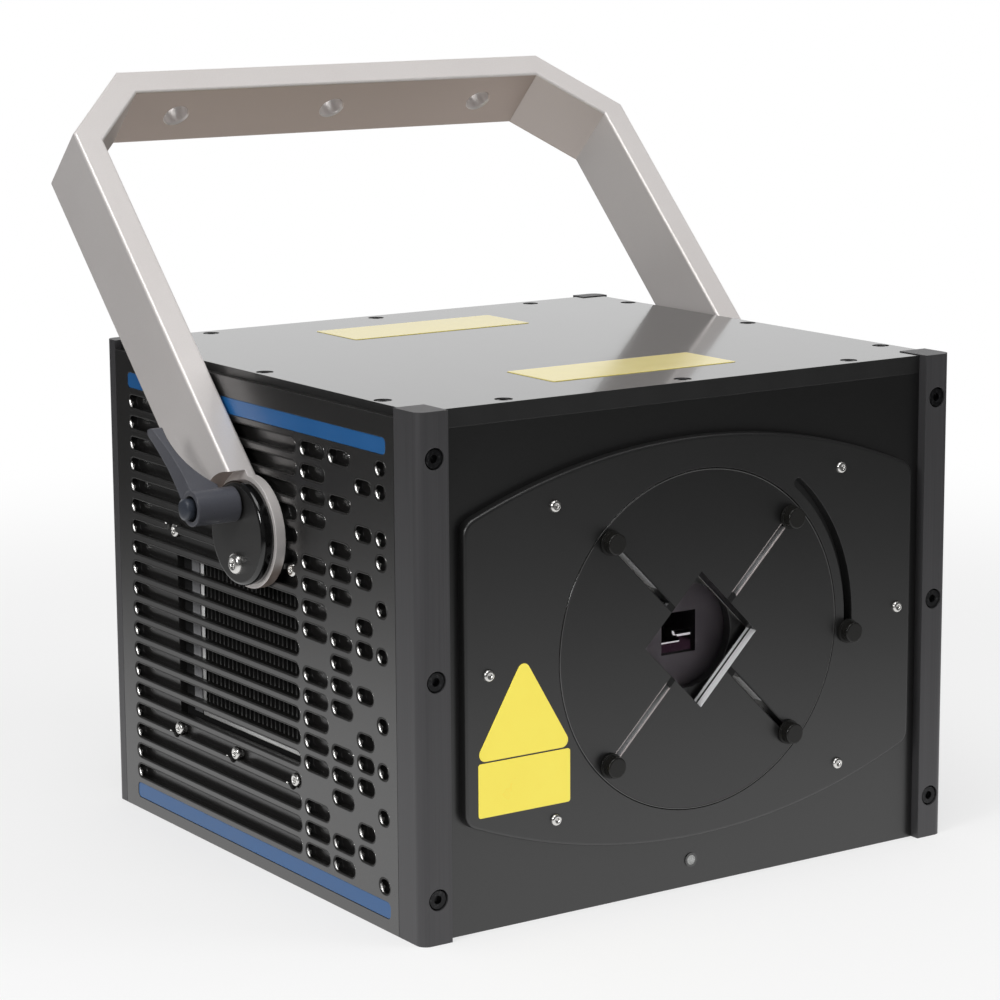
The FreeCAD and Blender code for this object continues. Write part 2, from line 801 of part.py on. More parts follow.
def clamp_slot_tool():
    """Arc slot that the clamp screw travels along, through the masking plate."""
    y = mask_face - overrun
    start = clamp_rest_degrees
    end = clamp_rest_degrees + clamp_travel_degrees
    half = clamp_slot_width / 2
    overshoot = math.degrees(half / clamp_radius)
    middle = (start + end) / 2
    start_inner, middle_inner, end_inner = [
        clamp_point(degrees, clamp_radius - half, y) for degrees in (start, middle, end)]
    start_outer, middle_outer, end_outer = [
        clamp_point(degrees, clamp_radius + half, y) for degrees in (start, middle, end)]
    edges = [
        Part.Arc(start_outer, middle_outer, end_outer).toShape(),
        Part.Arc(end_outer, clamp_point(end + overshoot, clamp_radius, y), end_inner).toShape(),
        Part.Arc(end_inner, middle_inner, start_inner).toShape(),
        Part.Arc(start_inner, clamp_point(start - overshoot, clamp_radius, y), start_outer).toShape(),
    ]
    return Part.Face(Part.Wire(edges)).extrude(V(0, mask_thickness + 2 * overrun, 0))


def mask_plate():
    """Barrel-shaped plate: straight sides, arched top and bottom, rounded front edge."""
    point = front_point(front_face)
    side_z = mask_half_height - mask_arc_radius + math.sqrt(mask_arc_radius ** 2 - mask_half_width ** 2)
    w = mask_half_width
    outline = [
        Part.makeLine(point(-w, -side_z), point(-w, side_z)),
        Part.Arc(point(-w, side_z), point(0, mask_half_height), point(w, side_z)).toShape(),
        Part.makeLine(point(w, side_z), point(w, -side_z)),
        Part.Arc(point(w, -side_z), point(0, -mask_half_height), point(-w, -side_z)).toShape(),
    ]
    shape = Part.Face(Part.Wire(outline)).extrude(V(0, -mask_thickness, 0))
    corners = [edge for edge in shape.Edges if abs(edge.tangentAt(edge.FirstParameter).y) > abs(
        edge.tangentAt(edge.FirstParameter).x) + abs(edge.tangentAt(edge.FirstParameter).z)]
    shape = shape.makeFillet(mask_corner_radius, corners)
    rim = [edge for edge in shape.Edges if abs(edge.BoundBox.YMax - mask_face) + abs(
        edge.BoundBox.YMin - mask_face) < disc_play]
    shape = shape.makeFillet(edge_round, rim)
    centre = V(disc_x, mask_face - overrun, disc_z)
    hole = rod(disc_radius + disc_groove, centre, V(0, 1, 0), mask_thickness + 2 * overrun)
    tools = [hole, clamp_slot_tool()]
    for x, z in mask_screw_places():
        tools.append(rod(mask_screw_radius + thread_clearance, V(x, mask_face - overrun, mid_height + z),
                         V(0, 1, 0), mask_thickness + 2 * overrun))
    return shape.cut(Part.makeCompound(tools))


def mask_screws():
    """Six small stainless screws on the masking plate."""
    screws = []
    for x, z in mask_screw_places():
        seat = V(x, mask_face, mid_height + z)
        screws.append(button_screw(mask_screw_radius, mask_screw_head_radius, mask_screw_head_height,
                                   mask_screw_radius, mask_screw_head_height / 2,
                                   mask_thickness + mask_screw_depth, seat, V(0, 1, 0)))
    return Part.makeCompound(screws)


def emission_lamp():
    """Small domed lamp under the masking plate."""
    axis = V(0, 1, 0)
    lens = Part.makeSphere(lamp_radius, V(0, front_face + lamp_radius - lamp_dome, lamp_height))
    keep = block(-lamp_radius, lamp_radius, front_face - lamp_dome, front_face,
                 lamp_height - lamp_radius, lamp_height + lamp_radius)
    rim = rod(lamp_body_radius + lamp_rim, V(0, front_face - lamp_rim, lamp_height), axis, lamp_rim)
    body = rod(lamp_body_radius, V(0, front_face, lamp_height), axis, lamp_body_length)
    return lens.common(keep).fuse(rim).fuse(body).removeSplitter()


# Disc, blades and thumb screws

blade_names = ("upper_right", "upper_left", "lower_left", "lower_right")


def blade_degrees(name):
    """Direction of a blade's slot, anticlockwise from the right seen from the front."""
    return 45 + 90 * blade_names.index(name)


def disc_point(y):
    """Flat (x, z) coordinates from the disc's centre on an upright plane at y."""
    return lambda x, z: V(disc_x + x, y, disc_z + z)


def turned(shape, degrees):
    """Turn a piece made along +X round the disc's axis, anticlockwise seen from the front."""
    shape.rotate(V(disc_x, 0, disc_z), V(0, -1, 0), degrees)
    return shape


def mask_disc():
    """Stepped disc: boss flush with the plate, flange behind it, square opening and four slots."""
    axis = V(0, 1, 0)
    boss = rod(disc_radius, V(disc_x, mask_face, disc_z), axis, flange_front - mask_face)
    flange = rod(disc_flange_radius, V(disc_x, flange_front, disc_z), axis, disc_flange_thickness)
    shape = boss.fuse(flange)
    y0 = mask_face - overrun
    y1 = flange_back + overrun
    square = block(disc_x - opening_apothem, disc_x + opening_apothem, y0, y1, disc_z - opening_apothem,
                   disc_z + opening_apothem)
    tools = [turned(square, 45)]
    for name in blade_names:
        slot = Part.Face(stadium_loop(opening_apothem + slot_bridge, knob_circle_radius + slot_width / 2, 0,
                                      slot_width, disc_point(y0)))
        tools.append(turned(slot.extrude(V(0, y1 - y0, 0)), blade_degrees(name)))
    seat = clamp_point(clamp_rest_degrees, clamp_radius, flange_front - overrun)
    tools.append(rod(clamp_screw_radius + running_fit, seat, axis, disc_flange_thickness + 2 * overrun))
    return shape.cut(Part.makeCompound(tools))


def blade_front(name):
    """Front face of a blade; opposite pairs lie one behind the other so that they can cross."""
    level = (blade_names.index(name) + 1) % 2
    return flange_back + disc_play + level * (blade_thickness + disc_play)


def mask_blade(name):
    """Flat blade with a stem under its slot, threaded for the thumb screw."""
    y = blade_front(name)
    edge = opening_apothem + blade_edge_margin
    half = opening_apothem + blade_side_margin
    stem = blade_stem_width / 2
    plate_end = edge + blade_plate_length
    point = disc_point(y)
    upper = [(edge, half), (plate_end, half), (plate_end, stem), (blade_stem_end, stem)]
    lower = [(x, -z) for x, z in reversed(upper)]
    outline = [point(x, z) for x, z in upper + lower]
    shape = Part.Face(loop(outline)).extrude(V(0, blade_thickness, 0))
    shape = shape.cut(rod(knob_screw_radius + running_fit, V(disc_x + knob_circle_radius, y - overrun, disc_z),
                          V(0, 1, 0), blade_thickness + 2 * overrun))
    return turned(shape, blade_degrees(name))


def thumb_screw(x, z, screw_radius, screw_end):
    """Black round knob with a washer under it and a screw behind."""
    axis = V(0, 1, 0)
    washer_back = mask_face - disc_play
    knob_back = washer_back - knob_washer_thickness
    knob = rod(knob_radius, V(x, knob_back - knob_height, z), axis, knob_height)
    front_edges = [edge for edge in knob.Edges if edge.BoundBox.YMax < knob_back - knob_height / 2]
    knob = knob.makeFillet(knob_crown, front_edges)
    washer = rod(knob_washer_radius, V(x, knob_back, z), axis, knob_washer_thickness)
    screw = rod(screw_radius, V(x, washer_back, z), axis, screw_end - washer_back)
    return knob.multiFuse([washer, screw]).removeSplitter()


def blade_knob(name):
    """Thumb screw that runs in the slot and threads into its blade."""
    end = blade_front(name) + blade_thickness
    shape = thumb_screw(disc_x + knob_circle_radius, disc_z, knob_screw_radius, end)
    return turned(shape, blade_degrees(name))


def clamp_knob():
    """Thumb screw that holds the disc's angle, in the arc slot."""
    place = clamp_point(clamp_rest_degrees, clamp_radius, 0)
    return thumb_screw(place.x, place.z, clamp_screw_radius, flange_back)


# Beam window and scanner

def window_glass():
    """Round coated glass behind the bore."""
    return rod(glass_radius, V(disc_x, front_back, disc_z), V(0, 1, 0), glass_thickness)


def window_frame():
    """Ring that holds the glass against the back of the front panel."""
    axis = V(0, 1, 0)
    shape = ring(frame_radius, glass_radius + seam, V(disc_x, front_back, disc_z), axis, glass_thickness)
    lip = ring(frame_radius, frame_lip_radius, V(disc_x, glass_back, disc_z), axis, frame_lip)
    return shape.fuse(lip).removeSplitter()


def mirror_y_axis():
    """Point on the axis of the mirror that moves the beam up and down."""
    return V(disc_x, block_face + mirror_y_setback, disc_z - mirror_y_drop)


def mirror_x_axis():
    """Point on the axis of the mirror that moves the beam sideways."""
    return V(disc_x, block_face + mirror_x_setback, disc_z)


def scanner_block():
    """Hollow block with a square aperture in front and a bore for each scanner motor."""
    half = block_half_width
    inside = half - block_wall
    back = block_face + block_length
    shape = block(disc_x - half, disc_x + half, block_face, back, disc_z - half, disc_z + half)
    cavity = block(disc_x - inside, disc_x + inside, block_face + block_wall, back - block_wall,
                   disc_z - inside, disc_z + inside)
    side = aperture_side / 2
    aperture = block(disc_x - side, disc_x + side, block_face - overrun, block_face + block_wall + overrun,
                     disc_z - side, disc_z + side)
    right_bore = rod(galvo_radius + running_fit, mirror_y_axis() + V(inside - overrun, 0, 0), V(1, 0, 0),
                     block_wall + 2 * overrun)
    top_bore = rod(galvo_radius + running_fit, mirror_x_axis() + V(0, 0, inside - overrun), V(0, 0, 1),
                   block_wall + 2 * overrun)
    return shape.cut(Part.makeCompound([cavity, aperture, right_bore, top_bore]))


def galvo_motors():
    """Two scanner motors held in the block's bores."""
    inside = block_half_width - block_wall
    right = mirror_y_axis() + V(inside, 0, 0)
    top = mirror_x_axis() + V(0, 0, inside)
    bore = galvo_shaft_radius + running_fit
    return Part.makeCompound([ring(galvo_radius, bore, right, V(1, 0, 0), galvo_length),
                              ring(galvo_radius, bore, top, V(0, 0, 1), galvo_length)])


def scan_mirror(axis_point, direction, length, width, reach, lean_axis):
    """Mirror on its shaft: the plate is centred on the axis point, the shaft runs along direction."""
    plate = Part.makeBox(length, width, mirror_thickness, V(-length / 2, -width / 2, -mirror_thickness / 2))
    shaft = rod(galvo_shaft_radius, V(length / 2 - mirror_thickness, 0, 0), V(1, 0, 0), reach)
    shape = plate.fuse(shaft)
    shape.rotate(V(0, 0, 0), V(1, 0, 0), mirror_lean_degrees)
    if direction.z > 0:
        shape.rotate(V(0, 0, 0), lean_axis, -90)
    shape.translate(axis_point)
    return shape


def scan_mirror_y():
    """Mirror on a level axis."""
    reach = block_half_width - block_wall + galvo_length - mirror_y_length / 2
    return scan_mirror(mirror_y_axis(), V(1, 0, 0), mirror_y_length, mirror_y_width, reach, V(0, 1, 0))


def scan_mirror_x():
    """Mirror on an upright axis."""
    reach = block_half_width - block_wall + galvo_length - mirror_x_length / 2
    return scan_mirror(mirror_x_axis(), V(0, 0, 1), mirror_x_length, mirror_x_width, reach, V(0, 1, 0))


def scanner_pedestal():
    """Upright bracket that carries the scanner block on the base plate."""
    top = disc_z - block_half_width
    left = disc_x - pedestal_width / 2
    right = disc_x + pedestal_width / 2
    y0 = block_face + block_wall
    y1 = block_face + block_length
    foot = block(left, right, y0, y1, base_thickness, base_thickness + pedestal_flange)
    head = block(left, right, y0, y1, top - pedestal_flange, top)
    web = block(disc_x - pedestal_web / 2, disc_x + pedestal_web / 2, y0, y1, base_thickness, top)
    back = block(left, right, y1 - pedestal_web, y1, base_thickness, top)
    return foot.multiFuse([head, web, back]).removeSplitter()


# Tilt pivots, yoke and clamp levers

def pivot_hub():
    """Round hub that the yoke's left eye turns on, with a spigot through the side panel."""
    outward = V(-1, 0, 0)
    seat = V(-half_width, pivot_y, pivot_z)
    hub = rod(hub_radius, seat, outward, cap_inner - half_width)
    spigot = rod(hub_spigot_radius, V(-side_inner, pivot_y, pivot_z), outward, half_width - side_inner)
    shape = hub.fuse(spigot).removeSplitter()
    depth = cap_inner - side_inner
    screw_hole = cap_screw_radius + thread_clearance
    for offset, radius in ((cap_stud_offset, stud_radius + running_fit), (-cap_stud_offset, screw_hole)):
        start = V(-cap_inner - overrun, pivot_y, pivot_z + offset)
        blind = cap_inner - half_width if abs(offset) + radius > hub_spigot_radius else depth
        shape = shape.cut(rod(radius, start, V(1, 0, 0), blind + overrun))
    return shape


def pivot_cap():
    """Glossy black disc that clamps the yoke's eye."""
    cap = rod(cap_radius, V(-cap_inner, pivot_y, pivot_z), V(-1, 0, 0), cap_thickness)
    rim = [edge for edge in cap.Edges if edge.BoundBox.XMax < -cap_outer + cap_round]
    cap = cap.makeFillet(cap_round, rim)
    start = -cap_outer - overrun
    length = cap_thickness + 2 * overrun
    stud_hole = rod(stud_radius + disc_play, V(start, pivot_y, stud_z), V(1, 0, 0), length)
    screw_hole = rod(cap_screw_radius + thread_clearance, V(start, pivot_y, pivot_z - cap_stud_offset),
                     V(1, 0, 0), length)
    return cap.cut(stud_hole).cut(screw_hole)


def cap_screws():
    """Stainless screw through each pivot cap into its hub."""
    seat = V(-cap_outer, pivot_y, pivot_z - cap_stud_offset)
    length = cap_outer - half_width
    return both_sides([button_screw(cap_screw_radius, cap_screw_head_radius, cap_screw_head_height,
                                    cap_screw_socket_radius, cap_screw_socket_depth, length, seat, V(1, 0, 0))])


def friction_washers():
    """Flat rings between the panels and the yoke's eyes."""
    seat = V(-half_width, pivot_y, pivot_z)
    return both_sides([ring(washer_radius, hub_radius + washer_clearance, seat, V(-1, 0, 0), washer_thickness)])


def yoke():
    """Flat bar bent to a U with cut shoulders; each leg ends in a thinner round eye."""
    half = yoke_bar_width / 2
    t = yoke_thickness
    centre_x = yoke_outer_half_width - t / 2
    top = yoke_reach - t / 2
    shift = t / 2 * math.tan(math.radians(45) / 2)
    shoulder_z = yoke_reach - yoke_corner - shift
    shoulder_x = yoke_outer_half_width - yoke_corner - shift
    path = Part.makePolygon([V(-centre_x, 0, 0), V(-centre_x, 0, shoulder_z), V(-shoulder_x, 0, top),
                             V(shoulder_x, 0, top), V(centre_x, 0, shoulder_z), V(centre_x, 0, 0)])
    section = rounded_loop(-yoke_outer_half_width, -eye_inner, -half, half, edge_round, lambda u, v: V(u, v, 0))
    shape = path.makePipeShell([section], True, False, 1)
    outward = V(-1, 0, 0)
    step = rod(yoke_step_radius, V(-eye_outer, 0, 0), outward, t)
    eye = rod(eye_radius, V(-eye_inner, 0, 0), outward, eye_thickness)
    bore = rod(hub_radius + running_fit, V(-eye_inner + overrun, 0, 0), outward, eye_thickness + 2 * overrun)
    for tool in (step, mirrored(step)):
        shape = shape.cut(tool)
    shape = shape.fuse(eye).fuse(mirrored(eye)).removeSplitter()
    shape = shape.cut(bore).cut(mirrored(bore))
    for place in (-1, 0, 1):
        x = place * yoke_hole_pitch
        shape = shape.cut(rod(yoke_hole_radius, V(x, 0, yoke_reach + overrun), V(0, 0, -1), t + 2 * overrun))
        wide = yoke_hole_radius + yoke_hole_chamfer
        for z, direction in ((yoke_reach, -1), (yoke_reach - t, 1)):
            shape = shape.cut(Part.makeCone(wide, yoke_hole_radius, yoke_hole_chamfer, V(x, 0, z),
                                            V(0, 0, direction)))
    shape.rotate(V(0, 0, 0), V(1, 0, 0), -yoke_lean_degrees)
    shape.translate(V(0, pivot_y, pivot_z))
    return shape


def lever_place(shape):
    """Stand a lever piece made along +Z (outward) and +X (arm) on the left clamp stud."""
    shape.rotate(V(0, 0, 0), V(0, 1, 0), -90)
    shape.rotate(V(0, 0, 0), V(1, 0, 0), -yoke_lean_degrees)
    shape.translate(V(-cap_outer - running_fit, pivot_y, stud_z))
    return shape


def lever_stud():
    """Threaded stud with a collar on the cap and a core that drives the handle."""
    up = V(0, 0, 1)
    hub_base = stud_collar_thickness + disc_play
    thread = rod(stud_radius, V(0, 0, -cap_outer + half_width + eye_gap), up, cap_outer - half_width - eye_gap)
    collar = rod(stud_collar_radius, V(0, 0, 0), up, stud_collar_thickness)
    core = rod(stud_core_radius, V(0, 0, 0), up, hub_base + lever_core_length)
    tip = rod(stud_tip_radius, V(0, 0, 0), up, hub_base + lever_hub_length - button_sink - button_height)
    return lever_place(thread.multiFuse([collar, core, tip]).removeSplitter())


def lever_button():
    """Push button that keeps the handle on the stud."""
    top = stud_collar_thickness + disc_play + lever_hub_length - button_sink
    shape = rod(button_radius, V(0, 0, top - button_height), V(0, 0, 1), button_height)
    rim = [edge for edge in shape.Edges if edge.BoundBox.ZMin > top - button_height / 2]
    return lever_place(shape.makeFillet(lever_edge_radius, rim))


def lever_handle():
    """Hub and swept arm of the clamp lever, bored for the stud and open for the button."""
    base = stud_collar_thickness + disc_play
    top = base + lever_hub_length
    up = V(0, 0, 1)
    hub = rod(lever_hub_radius, V(0, 0, base), up, lever_hub_length)
    reach = lever_reach
    low_root = top - lever_root_drop
    low_tip = top - lever_tip_drop
    high_tip = top + lever_tip_rise
    bend = lever_hub_radius + lever_sweep
    side = Part.Wire([
        Part.makeLine(V(0, 0, top), V(0, 0, low_root)),
        Part.makeLine(V(0, 0, low_root), V(lever_hub_radius, 0, low_root)),
        Part.Arc(V(lever_hub_radius, 0, low_root), V(bend, 0, (low_root + low_tip) / 2),
                 V(reach, 0, low_tip)).toShape(),
        Part.makeLine(V(reach, 0, low_tip), V(reach, 0, high_tip)),
        Part.Arc(V(reach, 0, high_tip), V((reach + bend) / 2, 0, (top + high_tip) / 2 - lever_tip_drop / 2),
                 V(0, 0, top)).toShape(),
    ])
    outline = Part.Face(side)
    outline.translate(V(0, -lever_hub_radius, 0))
    arm = outline.extrude(V(0, 2 * lever_hub_radius, 0))
    plan = Part.Wire([
        Part.makeLine(V(0, -lever_root_half_width, 0), V(reach - lever_tip_radius, -lever_tip_radius, 0)),
        Part.Arc(V(reach - lever_tip_radius, -lever_tip_radius, 0), V(reach, 0, 0),
                 V(reach - lever_tip_radius, lever_tip_radius, 0)).toShape(),
        Part.makeLine(V(reach - lever_tip_radius, lever_tip_radius, 0), V(0, lever_root_half_width, 0)),
        Part.makeLine(V(0, lever_root_half_width, 0), V(0, -lever_root_half_width, 0)),
    ])
    arm = arm.common(Part.Face(plan).extrude(V(0, 0, high_tip + overrun)))
    shape = hub.fuse(arm).removeSplitter()
    bore = rod(stud_core_radius + running_fit, V(0, 0, 0), up, top)
    recess = rod(lever_recess_radius, V(0, 0, base + lever_core_length + running_fit), up,
                 high_tip + overrun)
    return lever_place(shape.cut(bore).cut(recess))


# Rear panel and its fittings

def rear_point(y):
    """Flat (x, z) coordinates on an upright plane at y."""
    return lambda x, z: V(x, y, z)


def rear_panel():
    """Rear panel behind the rear posts, with openings for the fan and the sockets."""
    shape = block(-rear_edge, rear_edge, rear_back, rear_face, 0, panel_top)
    y = rear_back - overrun
    length = rear_panel_thickness + 2 * overrun
    axis = V(0, 1, 0)
    tools = [rod(fan_opening_radius, V(fan_x, y, fan_z), axis, length),
             rod(key_body_radius, V(key_x, y, key_z), axis, length),
             rod(interlock_body_radius, V(interlock_x, y, fitting_z), axis, length)]
    for x, width, height in ((inlet_x, inlet_body_width, inlet_body_height),
                             (dsub_x, dsub_shell_width, dsub_shell_height),
                             (jack_x, jack_width - 2 * jack_body_margin, jack_height - 2 * jack_body_margin)):
        tools.append(block(x - width / 2, x + width / 2, y, y + length, fitting_z - height / 2,
                           fitting_z + height / 2))
    for side in (-1, 1):
        for z in post_screw_heights():
            tools.append(rod(post_screw_radius + thread_clearance, V(side * side_middle, y, z), axis, length))
    return shape.cut(Part.makeCompound(tools))


def fan_frame():
    """Square fan housing behind the rear panel, with struts that carry the motor."""
    y0 = rear_back - fan_depth
    square = rounded_loop(fan_x - fan_half_side, fan_x + fan_half_side, fan_z - fan_half_side,
                          fan_z + fan_half_side, fan_corner_radius, rear_point(y0))
    shape = Part.Face(square).extrude(V(0, fan_depth, 0))
    axis = V(0, 1, 0)
    shape = shape.cut(rod(fan_opening_radius, V(fan_x, y0 - overrun, fan_z), axis, fan_depth + 2 * overrun))
    pieces = [rod(fan_motor_radius, V(fan_x, y0, fan_z), axis, fan_strut_thickness)]
    for place in range(fan_strut_count):
        strut = block(fan_x, fan_x + fan_opening_radius + running_fit, y0, y0 + fan_strut_thickness,
                      fan_z - fan_strut_width / 2, fan_z + fan_strut_width / 2)
        strut.rotate(V(fan_x, 0, fan_z), axis, place * 360 / fan_strut_count)
        pieces.append(strut)
    pieces.append(rod(fan_spindle_radius, V(fan_x, y0, fan_z), axis, fan_depth - fan_strut_thickness))
    return shape.multiFuse(pieces).removeSplitter()


def fan_rotor():
    """Fan hub with pitched blades, on the frame's spindle."""
    axis = V(0, 1, 0)
    y0 = rear_back - fan_depth + fan_strut_thickness + disc_play
    length = fan_depth - fan_strut_thickness - 2 * disc_play
    reach = fan_opening_radius - fan_blade_gap
    middle = y0 + length / 2
    blades = []
    for place in range(fan_blade_count):
        blade = block(fan_x, fan_x + reach, middle - fan_blade_thickness / 2, middle + fan_blade_thickness / 2,
                      fan_z - fan_blade_depth / 2, fan_z + fan_blade_depth / 2)
        blade.rotate(V(fan_x, middle, fan_z), V(1, 0, 0), 90 - fan_blade_pitch_degrees)
        blade.rotate(V(fan_x, middle, fan_z), axis, place * 360 / fan_blade_count)
        blades.append(blade)
    hub = rod(fan_hub_radius, V(fan_x, y0, fan_z), axis, length)
    swept = rod(reach, V(fan_x, y0, fan_z), axis, length)
    shape = hub.multiFuse([blade.common(swept) for blade in blades]).removeSplitter()
    bore_depth = length + overrun - disc_play
    bore = rod(fan_spindle_radius + running_fit, V(fan_x, y0 - overrun, fan_z), axis, bore_depth)
    return shape.cut(bore)


def fan_guard():
    """Flat stamped grille over the fan: rings and a plain middle on a cross, with an ear at each corner."""
    axis = V(0, 1, 0)
    seat = V(fan_x, rear_face, fan_z)
    pitch = (fan_opening_radius - guard_hub_radius) / guard_ring_count
    pieces = [rod(guard_hub_radius + guard_ring_width / 2, seat, axis, guard_thickness)]
    for place in range(1, guard_ring_count + 1):
        outer = guard_hub_radius + place * pitch + guard_ring_width / 2
        pieces.append(ring(outer, outer - guard_ring_width, seat, axis, guard_thickness))
    reach = guard_screw_offset * math.sqrt(2)
    for degrees in (45, 135, 225, 315):
        spoke = block(fan_x + guard_hub_radius, fan_x + reach, rear_face, rear_face + guard_thickness,
                      fan_z - guard_spoke_width / 2, fan_z + guard_spoke_width / 2)
        ear = rod(guard_ear_radius, V(fan_x + reach, rear_face, fan_z), axis, guard_thickness)
        arm = spoke.fuse(ear)
        arm.rotate(seat, axis, degrees)
        pieces.append(arm)
    return pieces[0].multiFuse(pieces[1:]).removeSplitter()


def power_inlet():
    """Three-pin mains inlet: flange outside, body through the panel, recess with flat pins."""
    flange = block(inlet_x - inlet_width / 2, inlet_x + inlet_width / 2, rear_face, rear_face + inlet_flange,
                   fitting_z - inlet_height / 2, fitting_z + inlet_height / 2)
    half_w = inlet_body_width / 2 - running_fit
    half_h = inlet_body_height / 2 - running_fit
    body = block(inlet_x - half_w, inlet_x + half_w, rear_face - inlet_body_depth, rear_face,
                 fitting_z - half_h, fitting_z + half_h)
    shape = flange.fuse(body)
    mouth = rear_face + inlet_flange
    floor = mouth - inlet_recess_depth
    wall = inlet_recess_wall
    shape = shape.cut(block(inlet_x - half_w + wall, inlet_x + half_w - wall, floor, mouth + overrun,
                            fitting_z - half_h + wall, fitting_z + half_h - wall))
    pins = []
    for step in (-1, 0, 1):
        x = inlet_x + step * inlet_pin_pitch
        z = fitting_z + (inlet_pin_offset if step == 0 else -inlet_pin_offset)
        pins.append(block(x - inlet_pin_width / 2, x + inlet_pin_width / 2, floor, floor + inlet_pin_length,
                          z - inlet_pin_height / 2, z + inlet_pin_height / 2))
    return shape.multiFuse(pins).removeSplitter()


def signal_socket():
    """D-shaped control socket with its two locking posts."""
    half_w = dsub_width / 2
    half_h = dsub_height / 2
    shape = block(dsub_x - half_w, dsub_x + half_w, rear_face, rear_face + dsub_flange,
                  fitting_z - half_h, fitting_z + half_h)
    top = dsub_shell_width / 2 - running_fit
    tall = dsub_shell_height / 2 - running_fit
    point = rear_point(rear_face - dsub_body_depth)
    low = top - dsub_slant
    outline = [point(dsub_x - top, fitting_z + tall), point(dsub_x + top, fitting_z + tall),
               point(dsub_x + low, fitting_z - tall), point(dsub_x - low, fitting_z - tall)]
    shell = Part.Face(loop(outline)).extrude(V(0, dsub_body_depth + dsub_flange + dsub_shell_length, 0))
    pieces = [shell]
    for side in (-1, 1):
        pieces.append(rod(dsub_post_radius, V(dsub_x + side * dsub_post_pitch / 2, rear_face, fitting_z),
                          V(0, 1, 0), dsub_post_length))
    return shape.multiFuse(pieces).removeSplitter()


def network_jack():
    """Square network socket with an open port."""
    bezel = block(jack_x - jack_width / 2, jack_x + jack_width / 2, rear_face, rear_face + jack_bezel,
                  fitting_z - jack_height / 2, fitting_z + jack_height / 2)
    half_w = jack_width / 2 - jack_body_margin - running_fit
    half_h = jack_height / 2 - jack_body_margin - running_fit
    body = block(jack_x - half_w, jack_x + half_w, rear_face - jack_body_depth, rear_face,
                 fitting_z - half_h, fitting_z + half_h)
    mouth = rear_face + jack_bezel
    port = block(jack_x - jack_port_width / 2, jack_x + jack_port_width / 2, mouth - jack_port_depth,
                 mouth + overrun, fitting_z - jack_port_height / 2, fitting_z + jack_port_height / 2)
    return bezel.fuse(body).cut(port).removeSplitter()


def interlock_socket():
    """Round three-pin socket for the remote stop."""
    axis = V(0, 1, 0)
    half_w = interlock_width / 2
    half_h = interlock_height / 2
    flange = block(interlock_x - half_w, interlock_x + half_w, rear_face, rear_face + interlock_flange,
                   fitting_z - half_h, fitting_z + half_h)
    body = rod(interlock_body_radius - running_fit, V(interlock_x, rear_face - interlock_body_depth, fitting_z),
               axis, interlock_body_depth)
    mouth = rear_face + interlock_flange
    floor = mouth - interlock_recess_depth
    shape = flange.fuse(body).cut(rod(interlock_recess_radius, V(interlock_x, floor, fitting_z), axis,
                                      interlock_recess_depth + overrun))
    pins = []
    for place in range(interlock_pin_count):
        angle = math.radians(90 + place * 360 / interlock_pin_count)
        pins.append(rod(interlock_pin_radius, V(interlock_x + interlock_pin_circle * math.cos(angle), floor,
                                                fitting_z + interlock_pin_circle * math.sin(angle)),
                        axis, interlock_pin_length))
    return shape.multiFuse(pins).removeSplitter()


def key_switch():
    """Key switch body with a round bezel, bored for its barrel."""
    axis = V(0, 1, 0)
    body = rod(key_body_radius - running_fit, V(key_x, rear_face - key_body_depth, key_z), axis, key_body_depth)
    bezel = rod(key_bezel_radius, V(key_x, rear_face, key_z), axis, key_bezel_length)
    mouth = rear_face + key_bezel_length
    bore = rod(key_barrel_radius + running_fit, V(key_x, mouth - key_barrel_length, key_z), axis,
               key_barrel_length + overrun)
    return body.fuse(bezel).cut(bore).removeSplitter()


def switch_key():
    """Barrel with the key in it: a flat blade and a bow with a ring hole."""
    axis = V(0, 1, 0)
    mouth = rear_face + key_bezel_length
    barrel = rod(key_barrel_radius, V(key_x, mouth - key_barrel_length + disc_play, key_z), axis,
                 key_barrel_length - disc_play)
    half = key_thickness / 2
    blade = block(key_x - half, key_x + half, mouth, mouth + key_blade_length,
                  key_z - key_blade_width / 2, key_z + key_blade_width / 2)
    start = mouth + key_blade_length
    bow = block(key_x - half, key_x + half, start, start + key_bow_length,
                key_z - key_bow_width / 2, key_z + key_bow_width / 2)
    corners = [edge for edge in bow.Edges if abs(edge.tangentAt(edge.FirstParameter).x) > math.sqrt(0.5)]
    bow = bow.makeFillet(key_bow_width / 4, corners)
    hole = rod(key_hole_radius, V(key_x - half - overrun, start + key_bow_length - 2 * key_hole_radius, key_z),
               V(1, 0, 0), key_thickness + 2 * overrun)
    return barrel.multiFuse([blade, bow]).cut(hole).removeSplitter()


def write(name, shape):
    """Write one sub-part."""
    shape.exportStep("parts/" + name + ".step")


os.makedirs("parts", exist_ok=True)

left_and_right = {
    "post_front": front_post,
    "post_rear": rear_post,
    "side_panel": side_panel,
    "heat_sink": heat_sink,
    "pivot_hub": pivot_hub,
    "pivot_cap": pivot_cap,
    "lever_stud": lever_stud,
    "lever_button": lever_button,
    "lever_handle": lever_handle,
}
for name, make in left_and_right.items():
    left = make()
    write(name + "_left", left)
    write(name + "_right", mirrored(left))

for name in blade_names:
    write("blade_" + name, mask_blade(name))
    write("blade_knob_" + name, blade_knob(name))

